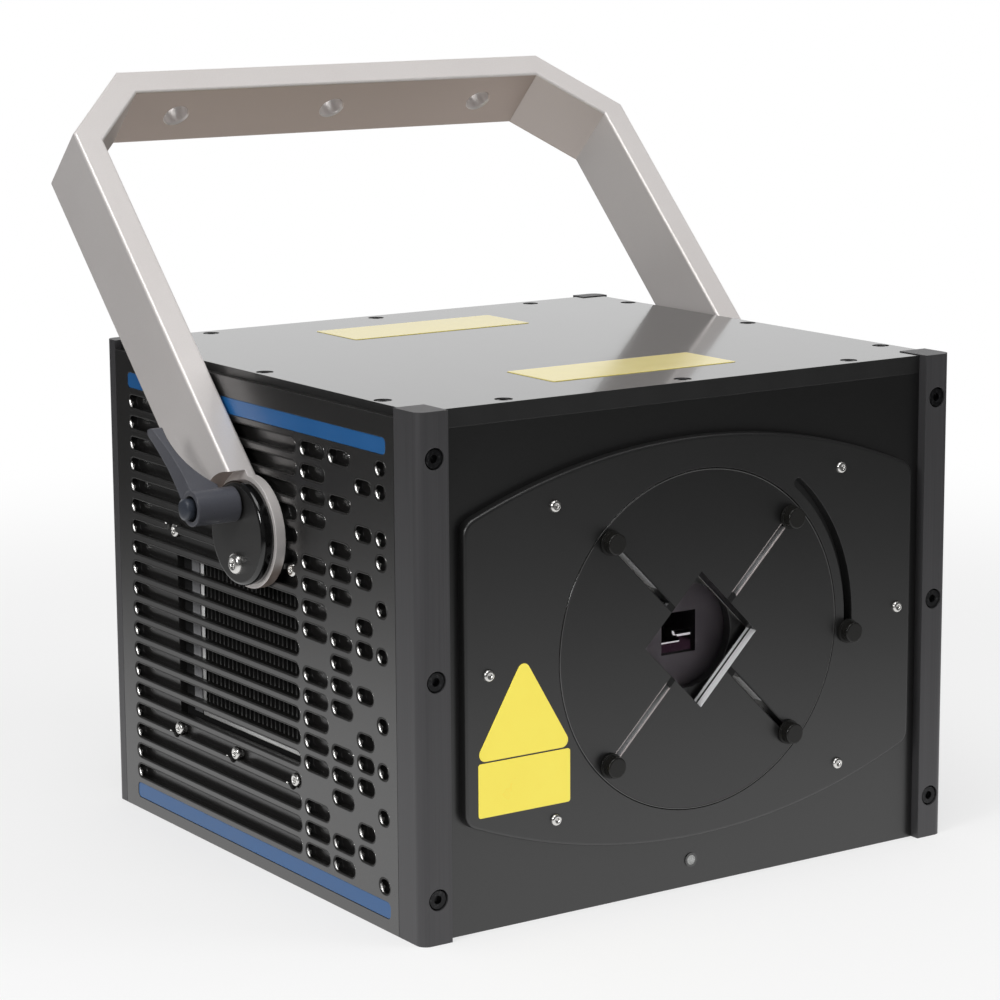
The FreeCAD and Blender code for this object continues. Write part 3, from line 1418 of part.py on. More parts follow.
single_pieces = {
    "post_screws": post_screws,
    "accent_strips": accent_strips,
    "window_gaskets": window_gaskets,
    "sink_screws": sink_screws,
    "base_plate": base_plate,
    "top_lid": top_lid,
    "lid_screws": lid_screws,
    "cross_rails": cross_rails,
    "front_panel": front_panel,
    "mask_plate": mask_plate,
    "mask_screws": mask_screws,
    "emission_lamp": emission_lamp,
    "mask_disc": mask_disc,
    "clamp_knob": clamp_knob,
    "window_glass": window_glass,
    "window_frame": window_frame,
    "scanner_block": scanner_block,
    "galvo_motors": galvo_motors,
    "scan_mirror_x": scan_mirror_x,
    "scan_mirror_y": scan_mirror_y,
    "scanner_pedestal": scanner_pedestal,
    "cap_screws": cap_screws,
    "friction_washers": friction_washers,
    "yoke": yoke,
    "rear_panel": rear_panel,
    "fan_frame": fan_frame,
    "fan_rotor": fan_rotor,
    "fan_guard": fan_guard,
    "power_inlet": power_inlet,
    "signal_socket": signal_socket,
    "network_jack": network_jack,
    "interlock_socket": interlock_socket,
    "key_switch": key_switch,
    "switch_key": switch_key,
}
for name, make in single_pieces.items():
    write(name, make())
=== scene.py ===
import math
import bmesh
import bpy
import numpy as np
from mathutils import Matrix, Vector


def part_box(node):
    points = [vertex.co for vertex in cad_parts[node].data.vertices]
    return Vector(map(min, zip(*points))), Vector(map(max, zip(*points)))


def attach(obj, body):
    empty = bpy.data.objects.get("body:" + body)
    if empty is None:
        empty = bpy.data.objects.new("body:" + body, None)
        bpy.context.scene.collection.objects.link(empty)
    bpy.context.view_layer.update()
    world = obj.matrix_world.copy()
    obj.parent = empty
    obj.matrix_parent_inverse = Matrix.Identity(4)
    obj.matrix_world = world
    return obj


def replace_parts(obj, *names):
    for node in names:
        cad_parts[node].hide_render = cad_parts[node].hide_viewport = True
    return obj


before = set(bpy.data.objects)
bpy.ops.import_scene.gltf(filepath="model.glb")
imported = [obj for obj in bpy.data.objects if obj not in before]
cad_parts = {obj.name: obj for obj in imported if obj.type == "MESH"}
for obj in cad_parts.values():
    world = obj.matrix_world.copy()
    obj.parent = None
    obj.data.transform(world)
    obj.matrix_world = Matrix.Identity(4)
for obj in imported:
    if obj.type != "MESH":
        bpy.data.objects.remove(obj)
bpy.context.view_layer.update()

# Camera: a long lens at the photograph's place, a little above the lid and round to the left.
# Its turn, height and shift come from fitting the housing's edges; metres and radians.
camera_place = (-0.87342, -1.27414, 0.46050)
camera_turn = 0.58263
camera_drop = 0.18109
camera_roll = -0.0080
focal_pixels = 3134.55
frame_pixels = 1000.0
principal_point = (462.61, 473.00)
sensor_mm = 36.0
view_reach = 60.0

camera_data = bpy.data.cameras.new("photo_camera")
camera_data.sensor_width = sensor_mm
camera_data.lens = sensor_mm * focal_pixels / frame_pixels
camera_data.shift_x = (frame_pixels / 2 - principal_point[0]) / frame_pixels
camera_data.shift_y = (principal_point[1] - frame_pixels / 2) / frame_pixels
camera_data.clip_end = view_reach
camera = bpy.data.objects.new("photo_camera", camera_data)
camera.rotation_mode = "XYZ"
camera.location = camera_place
bpy.context.collection.objects.link(camera)
forward = np.array([math.sin(camera_turn) * math.cos(camera_drop),
                    math.cos(camera_turn) * math.cos(camera_drop), -math.sin(camera_drop)])
level_right = np.array([math.cos(camera_turn), -math.sin(camera_turn), 0.0])
level_up = np.cross(level_right, forward)
right = math.cos(camera_roll) * level_right + math.sin(camera_roll) * level_up
up = math.cos(camera_roll) * level_up - math.sin(camera_roll) * level_right
turn = np.eye(4)
turn[:3, 0] = right
turn[:3, 1] = up
turn[:3, 2] = -forward
turn[:3, 3] = camera_place
camera.matrix_world = [list(column) for column in turn.T]
bpy.context.scene.camera = camera


# Studio: a pale floor that the projector stands on, a white backdrop behind it, and four soft boxes.
# The floor is white to the camera away from the object and keeps its shadow; gloss sees the white backdrop
# behind the object, the floor dimming with distance and a greyer room in front, and not the right box.
class Wire:
    """A socket in the nodes of a material or the world. Arithmetic on wires adds Math nodes there."""

    def __init__(self, tree, socket=None):
        self.tree = tree
        self.socket = socket

    def node(self, kind, settings=None, sockets=None, output=0):
        """Adds a node of this type with its settings, socket values and links, and gives one output."""
        made = self.tree.nodes.new("ShaderNode" + kind)
        for name, value in (settings or {}).items():
            setattr(made, name, value)
        for name, value in (sockets or {}).items():
            self.feed(made.inputs[name], value)
        return Wire(self.tree, made.outputs[output] if made.outputs else None)

    def feed(self, socket, value):
        """Links a wire to a socket, or sets a plain value there."""
        if isinstance(value, Wire):
            self.tree.links.new(value.socket, socket)
        else:
            socket.default_value = value

    def math(self, operation, first, second=0.0):
        """A Math node of one or two values."""
        return self.node("Math", {"operation": operation}, {0: first, 1: second})

    def __add__(self, other):
        return self.math("ADD", self, other)

    def __radd__(self, other):
        return self.math("ADD", other, self)

    def __sub__(self, other):
        return self.math("SUBTRACT", self, other)

    def __rsub__(self, other):
        return self.math("SUBTRACT", other, self)

    def __mul__(self, other):
        return self.math("MULTIPLY", self, other)

    def __gt__(self, other):
        return self.math("GREATER_THAN", self, other)

    def __lt__(self, other):
        return self.math("LESS_THAN", self, other)

    def __or__(self, other):
        return self.math("MAXIMUM", self, other)

    def __abs__(self):
        return self.math("ABSOLUTE", self)

    def root(self):
        """The square root."""
        return self.math("SQRT", self)

    def fade(self, start, end, first=0.0, last=1.0):
        """Smooth change from a first value to a last one as this wire goes from start to end."""
        return self.node("MapRange", {"interpolation_type": "SMOOTHSTEP"},
                         {"Value": self, "From Min": start, "From Max": end, "To Min": first, "To Max": last})

    def mirrored(self):
        """One for light seen by gloss or through glass, else zero."""
        glossy = self.node("LightPath", output="Is Glossy Ray")
        return glossy | self.node("LightPath", output="Is Transmission Ray")

    def axes(self):
        """The three numbers of a vector wire."""
        split = self.node("SeparateXYZ", {}, {0: self})
        return [Wire(self.tree, socket) for socket in split.socket.node.outputs]

    def tint(self, low, high, share):
        """Colour between two by a share, through the colour sockets of a Mix node, its numbers 6, 7 and 2."""
        mix = self.tree.nodes.new("ShaderNodeMix")
        mix.data_type = "RGBA"
        self.feed(mix.inputs[0], share)
        for socket, colour in ((mix.inputs[6], low), (mix.inputs[7], high)):
            self.feed(socket, colour if isinstance(colour, Wire) else tuple(colour) + (1.0,))
        return Wire(self.tree, mix.outputs[2])


def surface(name, vertices, faces, smooth=True):
    """A mesh object at the origin from arrays of points and of faces; points that meet are welded."""
    mesh = bpy.data.meshes.new(name)
    mesh.from_pydata(vertices.tolist(), [], faces.tolist())
    weld = bmesh.new()
    weld.from_mesh(mesh)
    bmesh.ops.remove_doubles(weld, verts=weld.verts, dist=weld_reach)
    weld.to_mesh(mesh)
    weld.free()
    mesh.polygons.foreach_set("use_smooth", np.full(len(mesh.polygons), smooth))
    mesh.update()
    made = bpy.data.objects.new(name, mesh)
    bpy.context.collection.objects.link(made)
    return made


def grid_faces(rows, columns):
    """Corner numbers of the faces of a grid of points whose last column joins the first."""
    row, column = np.meshgrid(np.arange(rows - 1), np.arange(columns), indexing="ij")
    following = (column + 1) % columns
    corners = [row * columns + column, row * columns + following,
               (row + 1) * columns + following, (row + 1) * columns + column]
    return np.stack(corners, -1).reshape(-1, 4)


def grey(level):
    """A colour with three equal parts."""
    return (level, level, level)


white = grey(1.0)
black = grey(0.0)
weld_reach = 1e-7
floor_reach = 9.0
floor_shown = (0.45, 1.1)
floor_mirrored = (0.3, 1.0)
floor_least_white = 0.62
paper_tone = 0.80
bounce_tone = 0.40
floor_rings = 24
floor_spokes = 64


def studio_floor():
    """Rings round the object: the radius grows with the square of a ring's share, the height stays zero."""
    share = np.linspace(0.0, 1.0, floor_rings)[:, None]
    angle = np.linspace(0.0, 2 * math.pi, floor_spokes, endpoint=False)[None, :]
    radius = floor_reach * share ** 2
    points = np.stack([radius * np.cos(angle), radius * np.sin(angle), 0 * radius * angle], -1)
    return surface("studio_floor", points.reshape(-1, 3), grid_faces(floor_rings, floor_spokes)[:, ::-1])


def floor_paper():
    """White paper: a shaded part and a white part, mixed by distance for the camera and dimmed for gloss.

    Light that it bounces up is halved, so that undersides stay dark.
    """
    material = bpy.data.materials.new("floor_paper")
    material.use_nodes = True
    tree = material.node_tree
    tree.nodes.clear()
    start = Wire(tree)
    x, y = start.node("TexCoord", output="Object").axes()[:2]
    distance = (x * x + y * y).root()
    seen = start.node("LightPath", output="Is Camera Ray")
    mirrored = start.mirrored()
    paper = start.node("BsdfDiffuse", {}, {"Color": grey(paper_tone) + (1.0,)})
    bounce = start.node("BsdfDiffuse", {}, {"Color": grey(bounce_tone) + (1.0,)})
    blank = start.node("Emission", {}, {"Color": white + (1.0,), "Strength": 1.0})
    dimming = start.tint(white, grey(0.05), distance.fade(*floor_mirrored))
    dimmed = start.node("Emission", {}, {"Color": dimming, "Strength": 1.0})
    whiteness = distance.fade(*floor_shown, floor_least_white, 1.0)
    to_camera = start.node("MixShader", {}, {0: whiteness, 1: paper, 2: blank})
    to_gloss = start.node("MixShader", {}, {0: mirrored, 1: bounce, 2: dimmed})
    mixed = start.node("MixShader", {}, {0: seen, 1: to_gloss, 2: to_camera})
    start.node("OutputMaterial", {}, {"Surface": mixed})
    return material


floor = studio_floor()
floor.data.materials.append(floor_paper())

backdrop_axis = (0.55, 0.83, 0.0)
backdrop_edge = (0.45, 0.9)
sky_strength = 0.5
room_grey = grey(0.10)
world = bpy.data.worlds.new("studio_backdrop")
world.use_nodes = True
world.node_tree.nodes.clear()
sky = Wire(world.node_tree)
sky_facing = sky.node("VectorMath", {"operation": "DOT_PRODUCT"},
                      {0: sky.node("TexCoord", output="Generated"), 1: backdrop_axis}, output="Value")
sky_light = sky.node("Background", {}, {"Color": white + (1.0,), "Strength": sky_strength})
sky_gloss = sky.node("Background", {}, {"Color": sky.tint(room_grey, white, sky_facing.fade(*backdrop_edge))})
sky_white = sky.node("Background", {}, {"Color": white + (1.0,), "Strength": 1.0})
sky_mirrored = sky.mirrored()
sky_unseen = sky.node("MixShader", {}, {0: sky_mirrored, 1: sky_light, 2: sky_gloss})
sky_seen = sky.node("LightPath", output="Is Camera Ray")
sky_mixed = sky.node("MixShader", {}, {0: sky_seen, 1: sky_unseen, 2: sky_white})
sky.node("OutputWorld", {}, {"Surface": sky_mixed})
bpy.context.scene.world = world
bpy.context.scene.view_settings.view_transform = "Standard"


def soft_light(name, place, target, width, power):
    """A square soft box at a place, turned to face a target."""
    data = bpy.data.lights.new(name, "AREA")
    data.shape = "SQUARE"
    data.size = width
    data.energy = power
    light = bpy.data.objects.new(name, data)
    ahead = np.array(target) - np.array(place)
    ahead = ahead / np.linalg.norm(ahead)
    side = np.cross(ahead, (0.0, 0.0, 1.0))
    side = side / np.linalg.norm(side)
    pose = np.eye(4)
    pose[:3, 0] = side
    pose[:3, 1] = np.cross(side, ahead)
    pose[:3, 2] = -ahead
    pose[:3, 3] = place
    light.matrix_world = [list(column) for column in pose.T]
    bpy.context.collection.objects.link(light)
    return light


middle_of_housing = (0.0, 0.0, 0.12)
soft_light("top_box", (-0.5, -0.4, 1.9), middle_of_housing, width=1.2, power=14.0)
soft_light("ridge_box", (0.92, -0.25, 1.78), middle_of_housing, width=0.4, power=0.9)
soft_light("left_box", (-1.5, -0.55, 0.85), middle_of_housing, width=0.4, power=8.0)
soft_light("right_box", (1.4, -1.4, 1.0), middle_of_housing, width=1.0, power=12.0).visible_glossy = False


# Corner posts: aluminium bars with a rounded outer edge, brushed upright and anodised grey.
# Each is pulled on to the side panel by three blackened socket screws, deep in round counterbores.
class Finish(Wire):
    """A new material with one shader; wires made from it feed the shader's sockets."""

    def __init__(self, name, colour, roughness, metallic=0.0, **sockets):
        self.material = bpy.data.materials.new(name)
        self.material.use_nodes = True
        tree = self.material.node_tree
        tree.nodes.clear()
        super().__init__(tree)
        self.shader = tree.nodes.new("ShaderNodeBsdfPrincipled")
        self.node("OutputMaterial", {}, {"Surface": Wire(tree, self.shader.outputs[0])})
        self.set("Base Color", tuple(colour) + (1.0,))
        self.set("Roughness", roughness)
        self.set("Metallic", metallic)
        for socket, value in sockets.items():
            self.set(socket.replace("_", " ").title().replace("Ior", "IOR"), value)

    def set(self, socket, value):
        """Feeds one of the shader's sockets, by its name."""
        self.feed(self.shader.inputs[socket], value)

    def place(self):
        """Object coordinates."""
        return self.node("TexCoord", output="Object")

    def normal(self):
        """The surface normal's three parts, in object coordinates."""
        return self.node("TexCoord", output="Normal").axes()

    def facing(self):
        """Sizes of the normal's three parts."""
        return [abs(part) for part in self.normal()]

    def noise(self, scale, stretch=(1.0, 1.0, 1.0), detail=3.0):
        """Cloudy pattern from zero to one."""
        mapped = self.node("Mapping", {}, {"Vector": self.place(), "Scale": stretch})
        return self.node("TexNoise", {}, {"Vector": mapped, "Scale": scale, "Detail": detail})

    def relief(self, height, strength, distance, edge=0.0):
        """Small relief from a height wire, with arrises softened by an edge radius where one is given."""
        sockets = {"Height": height, "Strength": strength, "Distance": distance}
        if edge:
            sockets["Normal"] = self.node("Bevel", {"samples": 4}, {"Radius": edge})
        self.set("Normal", self.node("Bump", {}, sockets))


def dress(finish, *nodes):
    """Puts a finish on CAD nodes."""
    for node in nodes:
        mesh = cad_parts[node].data
        mesh.materials.clear()
        mesh.materials.append(finish.material)


mm = 0.001
sides = ("left", "right")
signs = (-1, 1)
soft_arris = 0.4 * mm
fine_relief = 0.1 * mm


def post_finish():
    """Upright brush lines: noise stretched along the post drives colour, roughness and a fine relief."""
    made = Finish("post_brushed", (0.09, 0.09, 0.10), 0.4, 0.45)
    lines = made.noise(1.0, (1500.0, 1500.0, 12.0), 2.0)
    bands = made.noise(1.0, (240.0, 240.0, 4.0), 2.0)
    clouds = made.noise(9.0)
    share = lines * 0.5 + bands * 0.3 + clouds * 0.2
    made.set("Base Color", made.tint((0.052, 0.051, 0.054), (0.104, 0.102, 0.106), share))
    made.set("Roughness", 0.36 + lines * 0.18)
    made.relief(lines, 0.25, 2 * fine_relief, soft_arris)
    return made


dress(post_finish(), *["post_%s_%s" % (end, side) for end in ("front", "rear") for side in sides])


def black_screw_finish():
    """Blackened steel: dark oxide, thinner and brighter where a key has rubbed it."""
    made = Finish("black_oxide", (0.012, 0.012, 0.013), 0.35, 0.6)
    wear = made.noise(900.0)
    made.set("Base Color", made.tint((0.010, 0.010, 0.011), (0.045, 0.045, 0.047), wear.fade(0.52, 0.75)))
    made.set("Roughness", 0.26 + wear * 0.2)
    made.relief(wear, 0.15, fine_relief, edge=0.25 * mm)
    return made


black_screw = black_screw_finish()
dress(black_screw, "post_screws")


# Side panels: thick milled aluminium plates in a satin dark anodise, with rows of round-ended slots.
# The cutter leaves a fine lip round every slot. Low at the rear end, where it ran out, the lip is thicker,
# and there, where it faces forward and up, it is painted bare bright metal as a painted glint.
def side_finish():
    """Fine even grain and slow clouds under a dark warm coat."""
    made = Finish("side_anodised", grey(0.02), 0.4, ior=1.85)
    grain = made.noise(2600.0, detail=2.0)
    clouds = made.noise(12.0)
    share = clouds * 0.6 + grain * 0.4
    made.set("Base Color", made.tint((0.007, 0.0066, 0.0063), (0.015, 0.0143, 0.0137), share))
    made.set("Roughness", 0.24 + grain * 0.12)
    made.relief(grain, 0.12, fine_relief, soft_arris)
    return made


dress(side_finish(), "side_panel_left", "side_panel_right")
slot_height = 8.0 * mm
slot_rear = 124.2 * mm
long_slot_front = -42.6 * mm
row_pitch = 10.68 * mm
bottom_row = 10.0 * mm
row_count = 21
column_starts = np.array([-120.4, -108.2, -90.2, -68.2]) * mm
column_ends = np.array([-110.6, -93.0, -70.4, -45.2]) * mm
column_gap_rows = ((3, 6, 8, 10, 11, 13, 15, 17, 18), (1, 3, 5, 7, 10, 12, 16, 19),
                   (2, 4, 8, 13, 17), (5, 10, 16))
pivot_place = np.array([-7.0, 167.5]) * mm
pivot_pad = 24.0 * mm
sink_screw_places = np.array([(y, z) for z in (51.2, 152.8) for y in (81.0, 23.5, -34.0)]) * mm
sink_screw_hole = 4.3 * mm
lip_profile = np.array([(-0.30, 0.06), (-0.26, -0.01), (-0.20, -0.03), (0.05, -0.06), (0.45, 0.08),
                        (0.70, 0.36), (0.80, 0.80), (-0.30, 0.90), (-0.30, 0.06)]) * mm
arc_steps = 9
long_slot_steps = 40
short_slot_steps = 2
run_out_size = 1.3 * mm
run_out_along = 0.89
run_out_across = -0.45


def slot_lips(starts, ends, middles, height, profile, straight_steps, run_out=0.0):
    """Lips round slots: a profile of (inward, deep) rows carried along each round-ended outline.

    Every outline runs round its end arc, back along one straight, round its start arc and along the other.
    Where the cutter ran out, low in the end arc, the profile grows by the sixth power of how far the arc
    faces that way. Returns along, across and deep arrays of shape (slots, rows, columns).
    """
    half = height / 2
    arc = np.linspace(-math.pi / 2, math.pi / 2, arc_steps)
    straight = np.linspace(1.0, 0.0, straight_steps + 2)[1:-1]
    run = np.concatenate([np.ones(arc_steps), straight, np.zeros(arc_steps), straight[::-1]])
    cosine = np.concatenate([np.cos(arc), 0 * straight, -np.cos(arc), 0 * straight])
    sine = np.concatenate([np.sin(arc), 1 + 0 * straight, -np.sin(arc), -1 + 0 * straight])
    inner = (ends - starts - 2 * half)[:, None, None]
    swell = run_out * np.clip(run_out_along * cosine + run_out_across * sine, 0.0, 1.0) ** 6
    share = np.clip(profile / profile[:, 0].max(), 0.0, 1.0)
    reach = half - profile[:, :1] - share[:, :1] * swell
    along = (starts + half)[:, None, None] + inner * run + reach * cosine
    across = middles[:, None, None] + reach * sine
    deep = np.broadcast_to(profile[:, 1:] + share[:, 1:] * swell, along.shape)
    return along, across, deep


def lip_faces(slots, rows, columns):
    """Faces of a stack of closed grids, one for each slot."""
    one = grid_faces(rows, columns)
    return (one[None] + (np.arange(slots) * rows * columns)[:, None, None]).reshape(-1, 4)


slot_rows = np.arange(1, row_count - 1)
slot_levels = bottom_row + (row_count - 1 - slot_rows) * row_pitch
short_slots = np.array([(start, end, bottom_row + (row_count - 1 - row) * row_pitch)
                        for start, end, gaps in zip(column_starts, column_ends, column_gap_rows)
                        for row in slot_rows if row not in gaps])


def side_lips(side, sign):
    """Lips of one panel, long slots and short ones, left off under the pivot and at the screw holes.

    Where a lip stops, its last ring shrinks to its buried corner, so that it runs out in the panel and
    stays closed.
    """
    face_x = sign * abs(np.array(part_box("side_panel_" + side))[:, 0]).max()
    points = []
    faces = []
    count = 0
    each = np.ones(len(slot_levels))
    groups = ((long_slot_front * each, slot_rear * each, slot_levels, long_slot_steps),
              (*short_slots.T, short_slot_steps))
    for starts, ends, middles, straight_steps in groups:
        along, across, deep = slot_lips(starts, ends, middles, slot_height, lip_profile, straight_steps,
                                        run_out_size)
        middle = np.stack([along, across], -1).mean(1)
        middle = (middle + np.roll(middle, -1, 1)) / 2
        clear = np.linalg.norm(middle - pivot_place, axis=-1) > pivot_pad
        clear &= (np.linalg.norm(middle[:, :, None] - sink_screw_places, axis=-1) > sink_screw_hole).all(-1)
        stops = (clear != np.roll(clear, 1, 1))[:, None]
        along, across, deep = (np.where(stops, part[:, -2:-1], part) for part in (along, across, deep))
        points.append(np.stack([face_x - sign * deep, along, across], -1).reshape(-1, 3))
        kept = np.repeat(clear[:, None], along.shape[1] - 1, axis=1).reshape(-1)
        faces.append(lip_faces(*along.shape)[kept] + count)
        count += along.size
    used, faces = np.unique(np.concatenate(faces), return_inverse=True)
    faces = faces.reshape(-1, 4)
    lips = surface("slot_lips_" + side, np.concatenate(points)[used], faces if sign > 0 else faces[:, ::-1])
    lips.data.materials.append(lip_gloss.material)
    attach(lips, "housing")


def lip_finish(name, wear, roughness, ior):
    """Cut edge of a black plate, painted bare bright metal where it faces forward and up, a painted glint."""
    made = Finish(name, grey(0.02), roughness, ior=ior)
    chatter = made.noise(3000.0, detail=1.0)
    front_part, up_part = made.normal()[1:]
    # Painted glint: bare bright metal where the lip faces forward and up, scaled by wear.
    painted_glint = front_part.fade(-0.25, -0.55) * up_part.fade(0.03, 0.25) * wear
    coat = made.tint((0.008, 0.0076, 0.0073), (0.018, 0.0172, 0.0165), chatter)
    made.set("Base Color", made.tint(coat, (0.86, 0.85, 0.83), painted_glint))
    made.set("Metallic", painted_glint)
    made.set("Roughness", roughness + chatter * 0.08 - painted_glint * 0.14)
    return made


lip_gloss = lip_finish("slot_lip", wear=1.0, roughness=0.38, ior=1.35)
for side, sign in zip(sides, signs):
    side_lips(side, sign)


# Accent strips: flat bars lacquered blue, bedded in the side panels above and below the slots.
# The lacquer is satin, with a faint mottle and a fine grain.
def accent_finish():
    """Blue lacquer: slow mottle and fine grain mix two near blues."""
    made = Finish("accent_blue", (0.035, 0.12, 0.29), 0.4)
    mottle = made.noise(60.0)
    grain = made.noise(2400.0)
    share = mottle * 0.7 + grain * 0.3
    made.set("Base Color", made.tint((0.009, 0.092, 0.270), (0.016, 0.120, 0.335), share))
    made.set("Roughness", 0.28 + mottle * 0.12)
    made.relief(grain, 0.08, fine_relief, soft_arris)
    return made


dress(accent_finish(), "accent_strips")


# Heat sinks: black anodised fins behind the slots, between milled end walls, with two near-white beads each
# as painted highlights.
# Near-black foam frames, painted shade of the gaps, seal the windows round them, and small stainless button
# screws hold the flanges.
def stainless_finish():
    """Bright turned steel with fine turning marks."""
    made = Finish("stainless", (0.72, 0.71, 0.69), 0.25, 1.0)
    turning = made.noise(1400.0)
    made.set("Base Color", made.tint((0.60, 0.59, 0.57), (0.80, 0.79, 0.77), turning))
    made.set("Roughness", 0.16 + turning * 0.18)
    made.relief(turning, 0.1, fine_relief, edge=0.2 * mm)
    return made


stainless = stainless_finish()
head_shape = np.array([(0.00, 0.30), (0.40, 0.30), (0.42, 0.34), (0.43, 0.90), (0.47, 0.96), (0.60, 1.00),
                       (0.78, 0.90), (0.91, 0.66), (0.98, 0.36), (1.00, 0.06), (1.00, -0.80), (0.00, -0.80)])
head_socket_rows = 4
turned_columns = 24
upright = np.array([0.0, 0.0, 1.0])


def turned(name, seats, outward, profile, finish, body, socket_rows=0):
    """Turned pieces: a profile of (radius, height) rows spun round an outward axis at each seat.

    Where socket rows are given, that many first rows are pulled in to a hexagon, which makes a key's socket.
    """
    angle = np.linspace(0.0, 2 * math.pi, turned_columns, endpoint=False)
    sixth = math.pi / 3
    hexagon = math.cos(sixth / 2) / np.cos(angle % sixth - sixth / 2)
    shape = np.where(np.arange(len(profile))[:, None] < socket_rows, hexagon, 1.0)
    spun = (profile[:, :1] * shape)[..., None]
    axis = np.array(outward)[:, None, None]
    level = np.cross(upright, axis)
    offset = spun * (np.cos(angle)[:, None] * level + np.sin(angle)[:, None] * upright)
    points = np.array(seats)[:, None, None] + offset + profile[:, 1, None, None] * axis
    made = surface(name, points.reshape(-1, 3), lip_faces(*points.shape[:3])[:, ::-1])
    made.data.materials.append(finish.material)
    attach(made, body)
    return made


def button_heads(name, seats, outward, radius, height):
    """Stainless screw heads with a hexagon socket."""
    return turned(name, seats, outward, head_shape * (radius, height), stainless, "housing",
                  head_socket_rows)


sink_screw_seat = 151.0 * mm
sink_seats = [(sign * sink_screw_seat, y, z) for sign in signs for y, z in sink_screw_places]
sink_outward = [(np.sign(seat[0]), 0.0, 0.0) for seat in sink_seats]
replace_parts(button_heads("sink_heads", sink_seats, sink_outward, 3.6 * mm, 2.2 * mm), "sink_screws")
sink_wall_starts = (-28.0 * mm, 69.0 * mm)
sink_face = 138.0 * mm


def sink_finish():
    """Black anodise with extrusion lines; milled metal on the end walls by their places."""
    made = Finish("sink_extruded", grey(0.03), 0.45, 0.3)
    x, y = made.place().axes()[:2]
    lines = made.noise(1.0, (900.0, 900.0, 20.0))
    bare = ((y > sink_wall_starts[1]) | (y < sink_wall_starts[0])) * (abs(x) > sink_face)
    coat = made.tint(grey(0.010), (0.040, 0.039, 0.038), lines)
    milled = made.tint((0.24, 0.24, 0.25), (0.40, 0.40, 0.41), lines)
    made.set("Base Color", made.tint(coat, milled, bare))
    made.set("Metallic", 0.2 + bare * 0.2)
    made.set("Roughness", 0.40 + lines * 0.15)
    made.relief(lines, 0.2, fine_relief)
    return made


dress(sink_finish(), "heat_sink_left", "heat_sink_right")


def highlight_bead_finish():
    """Drawn aluminium, near white as a painted highlight, satin, with fine lines along it."""
    made = Finish("highlight_bead", (0.86, 0.86, 0.85), 0.34, 0.1)
    lines = made.noise(1.0, (1400.0, 300.0, 300.0))
    made.set("Base Color", made.tint((0.86, 0.86, 0.85), (0.96, 0.96, 0.95), lines))
    made.set("Roughness", 0.26 + lines * 0.14)
    return made


highlight_bead = highlight_bead_finish()
bead_columns = 16
bead_run = np.array([0.0, 0.0, 1.0, 1.0])[:, None, None]
bead_swell = np.array([0.0, 1.0, 1.0, 0.0])[:, None, None]


def bead(name, start, end, across, outward):
    """Bar: an ellipse with two half axes carried from a start to an end, drawn in to a point at both."""
    angle = np.linspace(0.0, 2 * math.pi, bead_columns, endpoint=False)
    ring = np.cos(angle)[:, None] * np.array(across) + np.sin(angle)[:, None] * np.array(outward)
    points = np.array(start) + bead_run * (np.array(end) - np.array(start)) + bead_swell * ring
    made = surface(name, points.reshape(-1, 3), grid_faces(len(bead_run), bead_columns))
    made.data.materials.append(highlight_bead.material)
    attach(made, "housing")


fin_tips = 145.2 * mm
sill_tips = 147.0 * mm
sill_height = 62.6 * mm
sill_half = 1.4 * mm
sill_front = -31.5 * mm
sill_rear = 63.5 * mm
wall_place = 66.0 * mm
wall_half = 1.5 * mm
wall_top = 138.6 * mm
bead_depth = 0.6 * mm
# Each bead's near-white colour is a painted highlight along the sill and an end wall.
for side, sign in zip(sides, signs):
    tips = sign * fin_tips
    ledge = sign * sill_tips
    bead("sill_bead_" + side, (ledge, sill_front, sill_height), (ledge, sill_rear, sill_height),
         (0.0, 0.0, sign * sill_half), (sign * bead_depth, 0.0, 0.0))
    bead("wall_bead_" + side, (tips, wall_place, sill_height), (tips, wall_place, wall_top),
         (0.0, -sign * wall_half, 0.0), (sign * bead_depth, 0.0, 0.0))


def shade_foam_finish():
    """Closed-cell foam: near black, as painted shade of the gaps it fills, with small pits."""
    made = Finish("window_shade_foam", grey(0.006), 0.9)
    pits = made.noise(1300.0)
    made.set("Base Color", made.tint(grey(0.003), grey(0.010), pits))
    made.set("Roughness", 0.8 + pits * 0.2)
    made.relief(pits, 0.6, 3 * fine_relief)
    return made


shade_foam = shade_foam_finish()
# The foam's near-black colour is painted shade where the gaps round the windows lie in shade.
dress(shade_foam, "window_gaskets")


# Base plate and rails: plain black plates that close the housing below and carry the lid.
# They are powder coated, with a fine even texture.
def satin_black_finish(name, low, high, grain_scale, strength, roughness, ior):
    """Satin black with fine grain and slow clouds."""
    made = Finish(name, low, 0.4, ior=ior)
    grain = made.noise(grain_scale, detail=2.0)
    clouds = made.noise(14.0)
    made.set("Base Color", made.tint(low, high, clouds * 0.5 + grain * 0.5))
    made.set("Roughness", roughness + grain * 0.14)
    made.relief(grain, strength, fine_relief, soft_arris)
    return made


coated_black = satin_black_finish("coated_black", (0.008, 0.008, 0.009), (0.018, 0.018, 0.019),
                                  grain_scale=1100.0, strength=0.3, roughness=0.34, ior=1.5)
dress(coated_black, "base_plate", "cross_rails")


# Lid: folded sheet in semi-gloss black that mirrors the room at a low angle, held by low sunk screws.
# Two pale plates lie on it near the front and rear edges, left bare.
def lid_finish():
    """Smooth black lacquer with a slight orange-peel relief and faint wiping smears."""
    made = Finish("lid_lacquer", (0.012, 0.012, 0.013), 0.16, ior=1.6, coat_weight=0.2)
    peel = made.noise(420.0, detail=1.0)
    smears = made.noise(1.0, (60.0, 14.0, 14.0))
    edge = made.facing()[2] < 0.5
    made.set("Base Color", made.tint(grey(0.010), grey(0.016), smears))
    made.set("Roughness", 0.07 + smears * 0.06 + edge * 0.3)
    made.relief(peel, 0.03, fine_relief, soft_arris)
    return made


dress(lid_finish(), "top_lid")
dress(black_screw, "lid_screws")


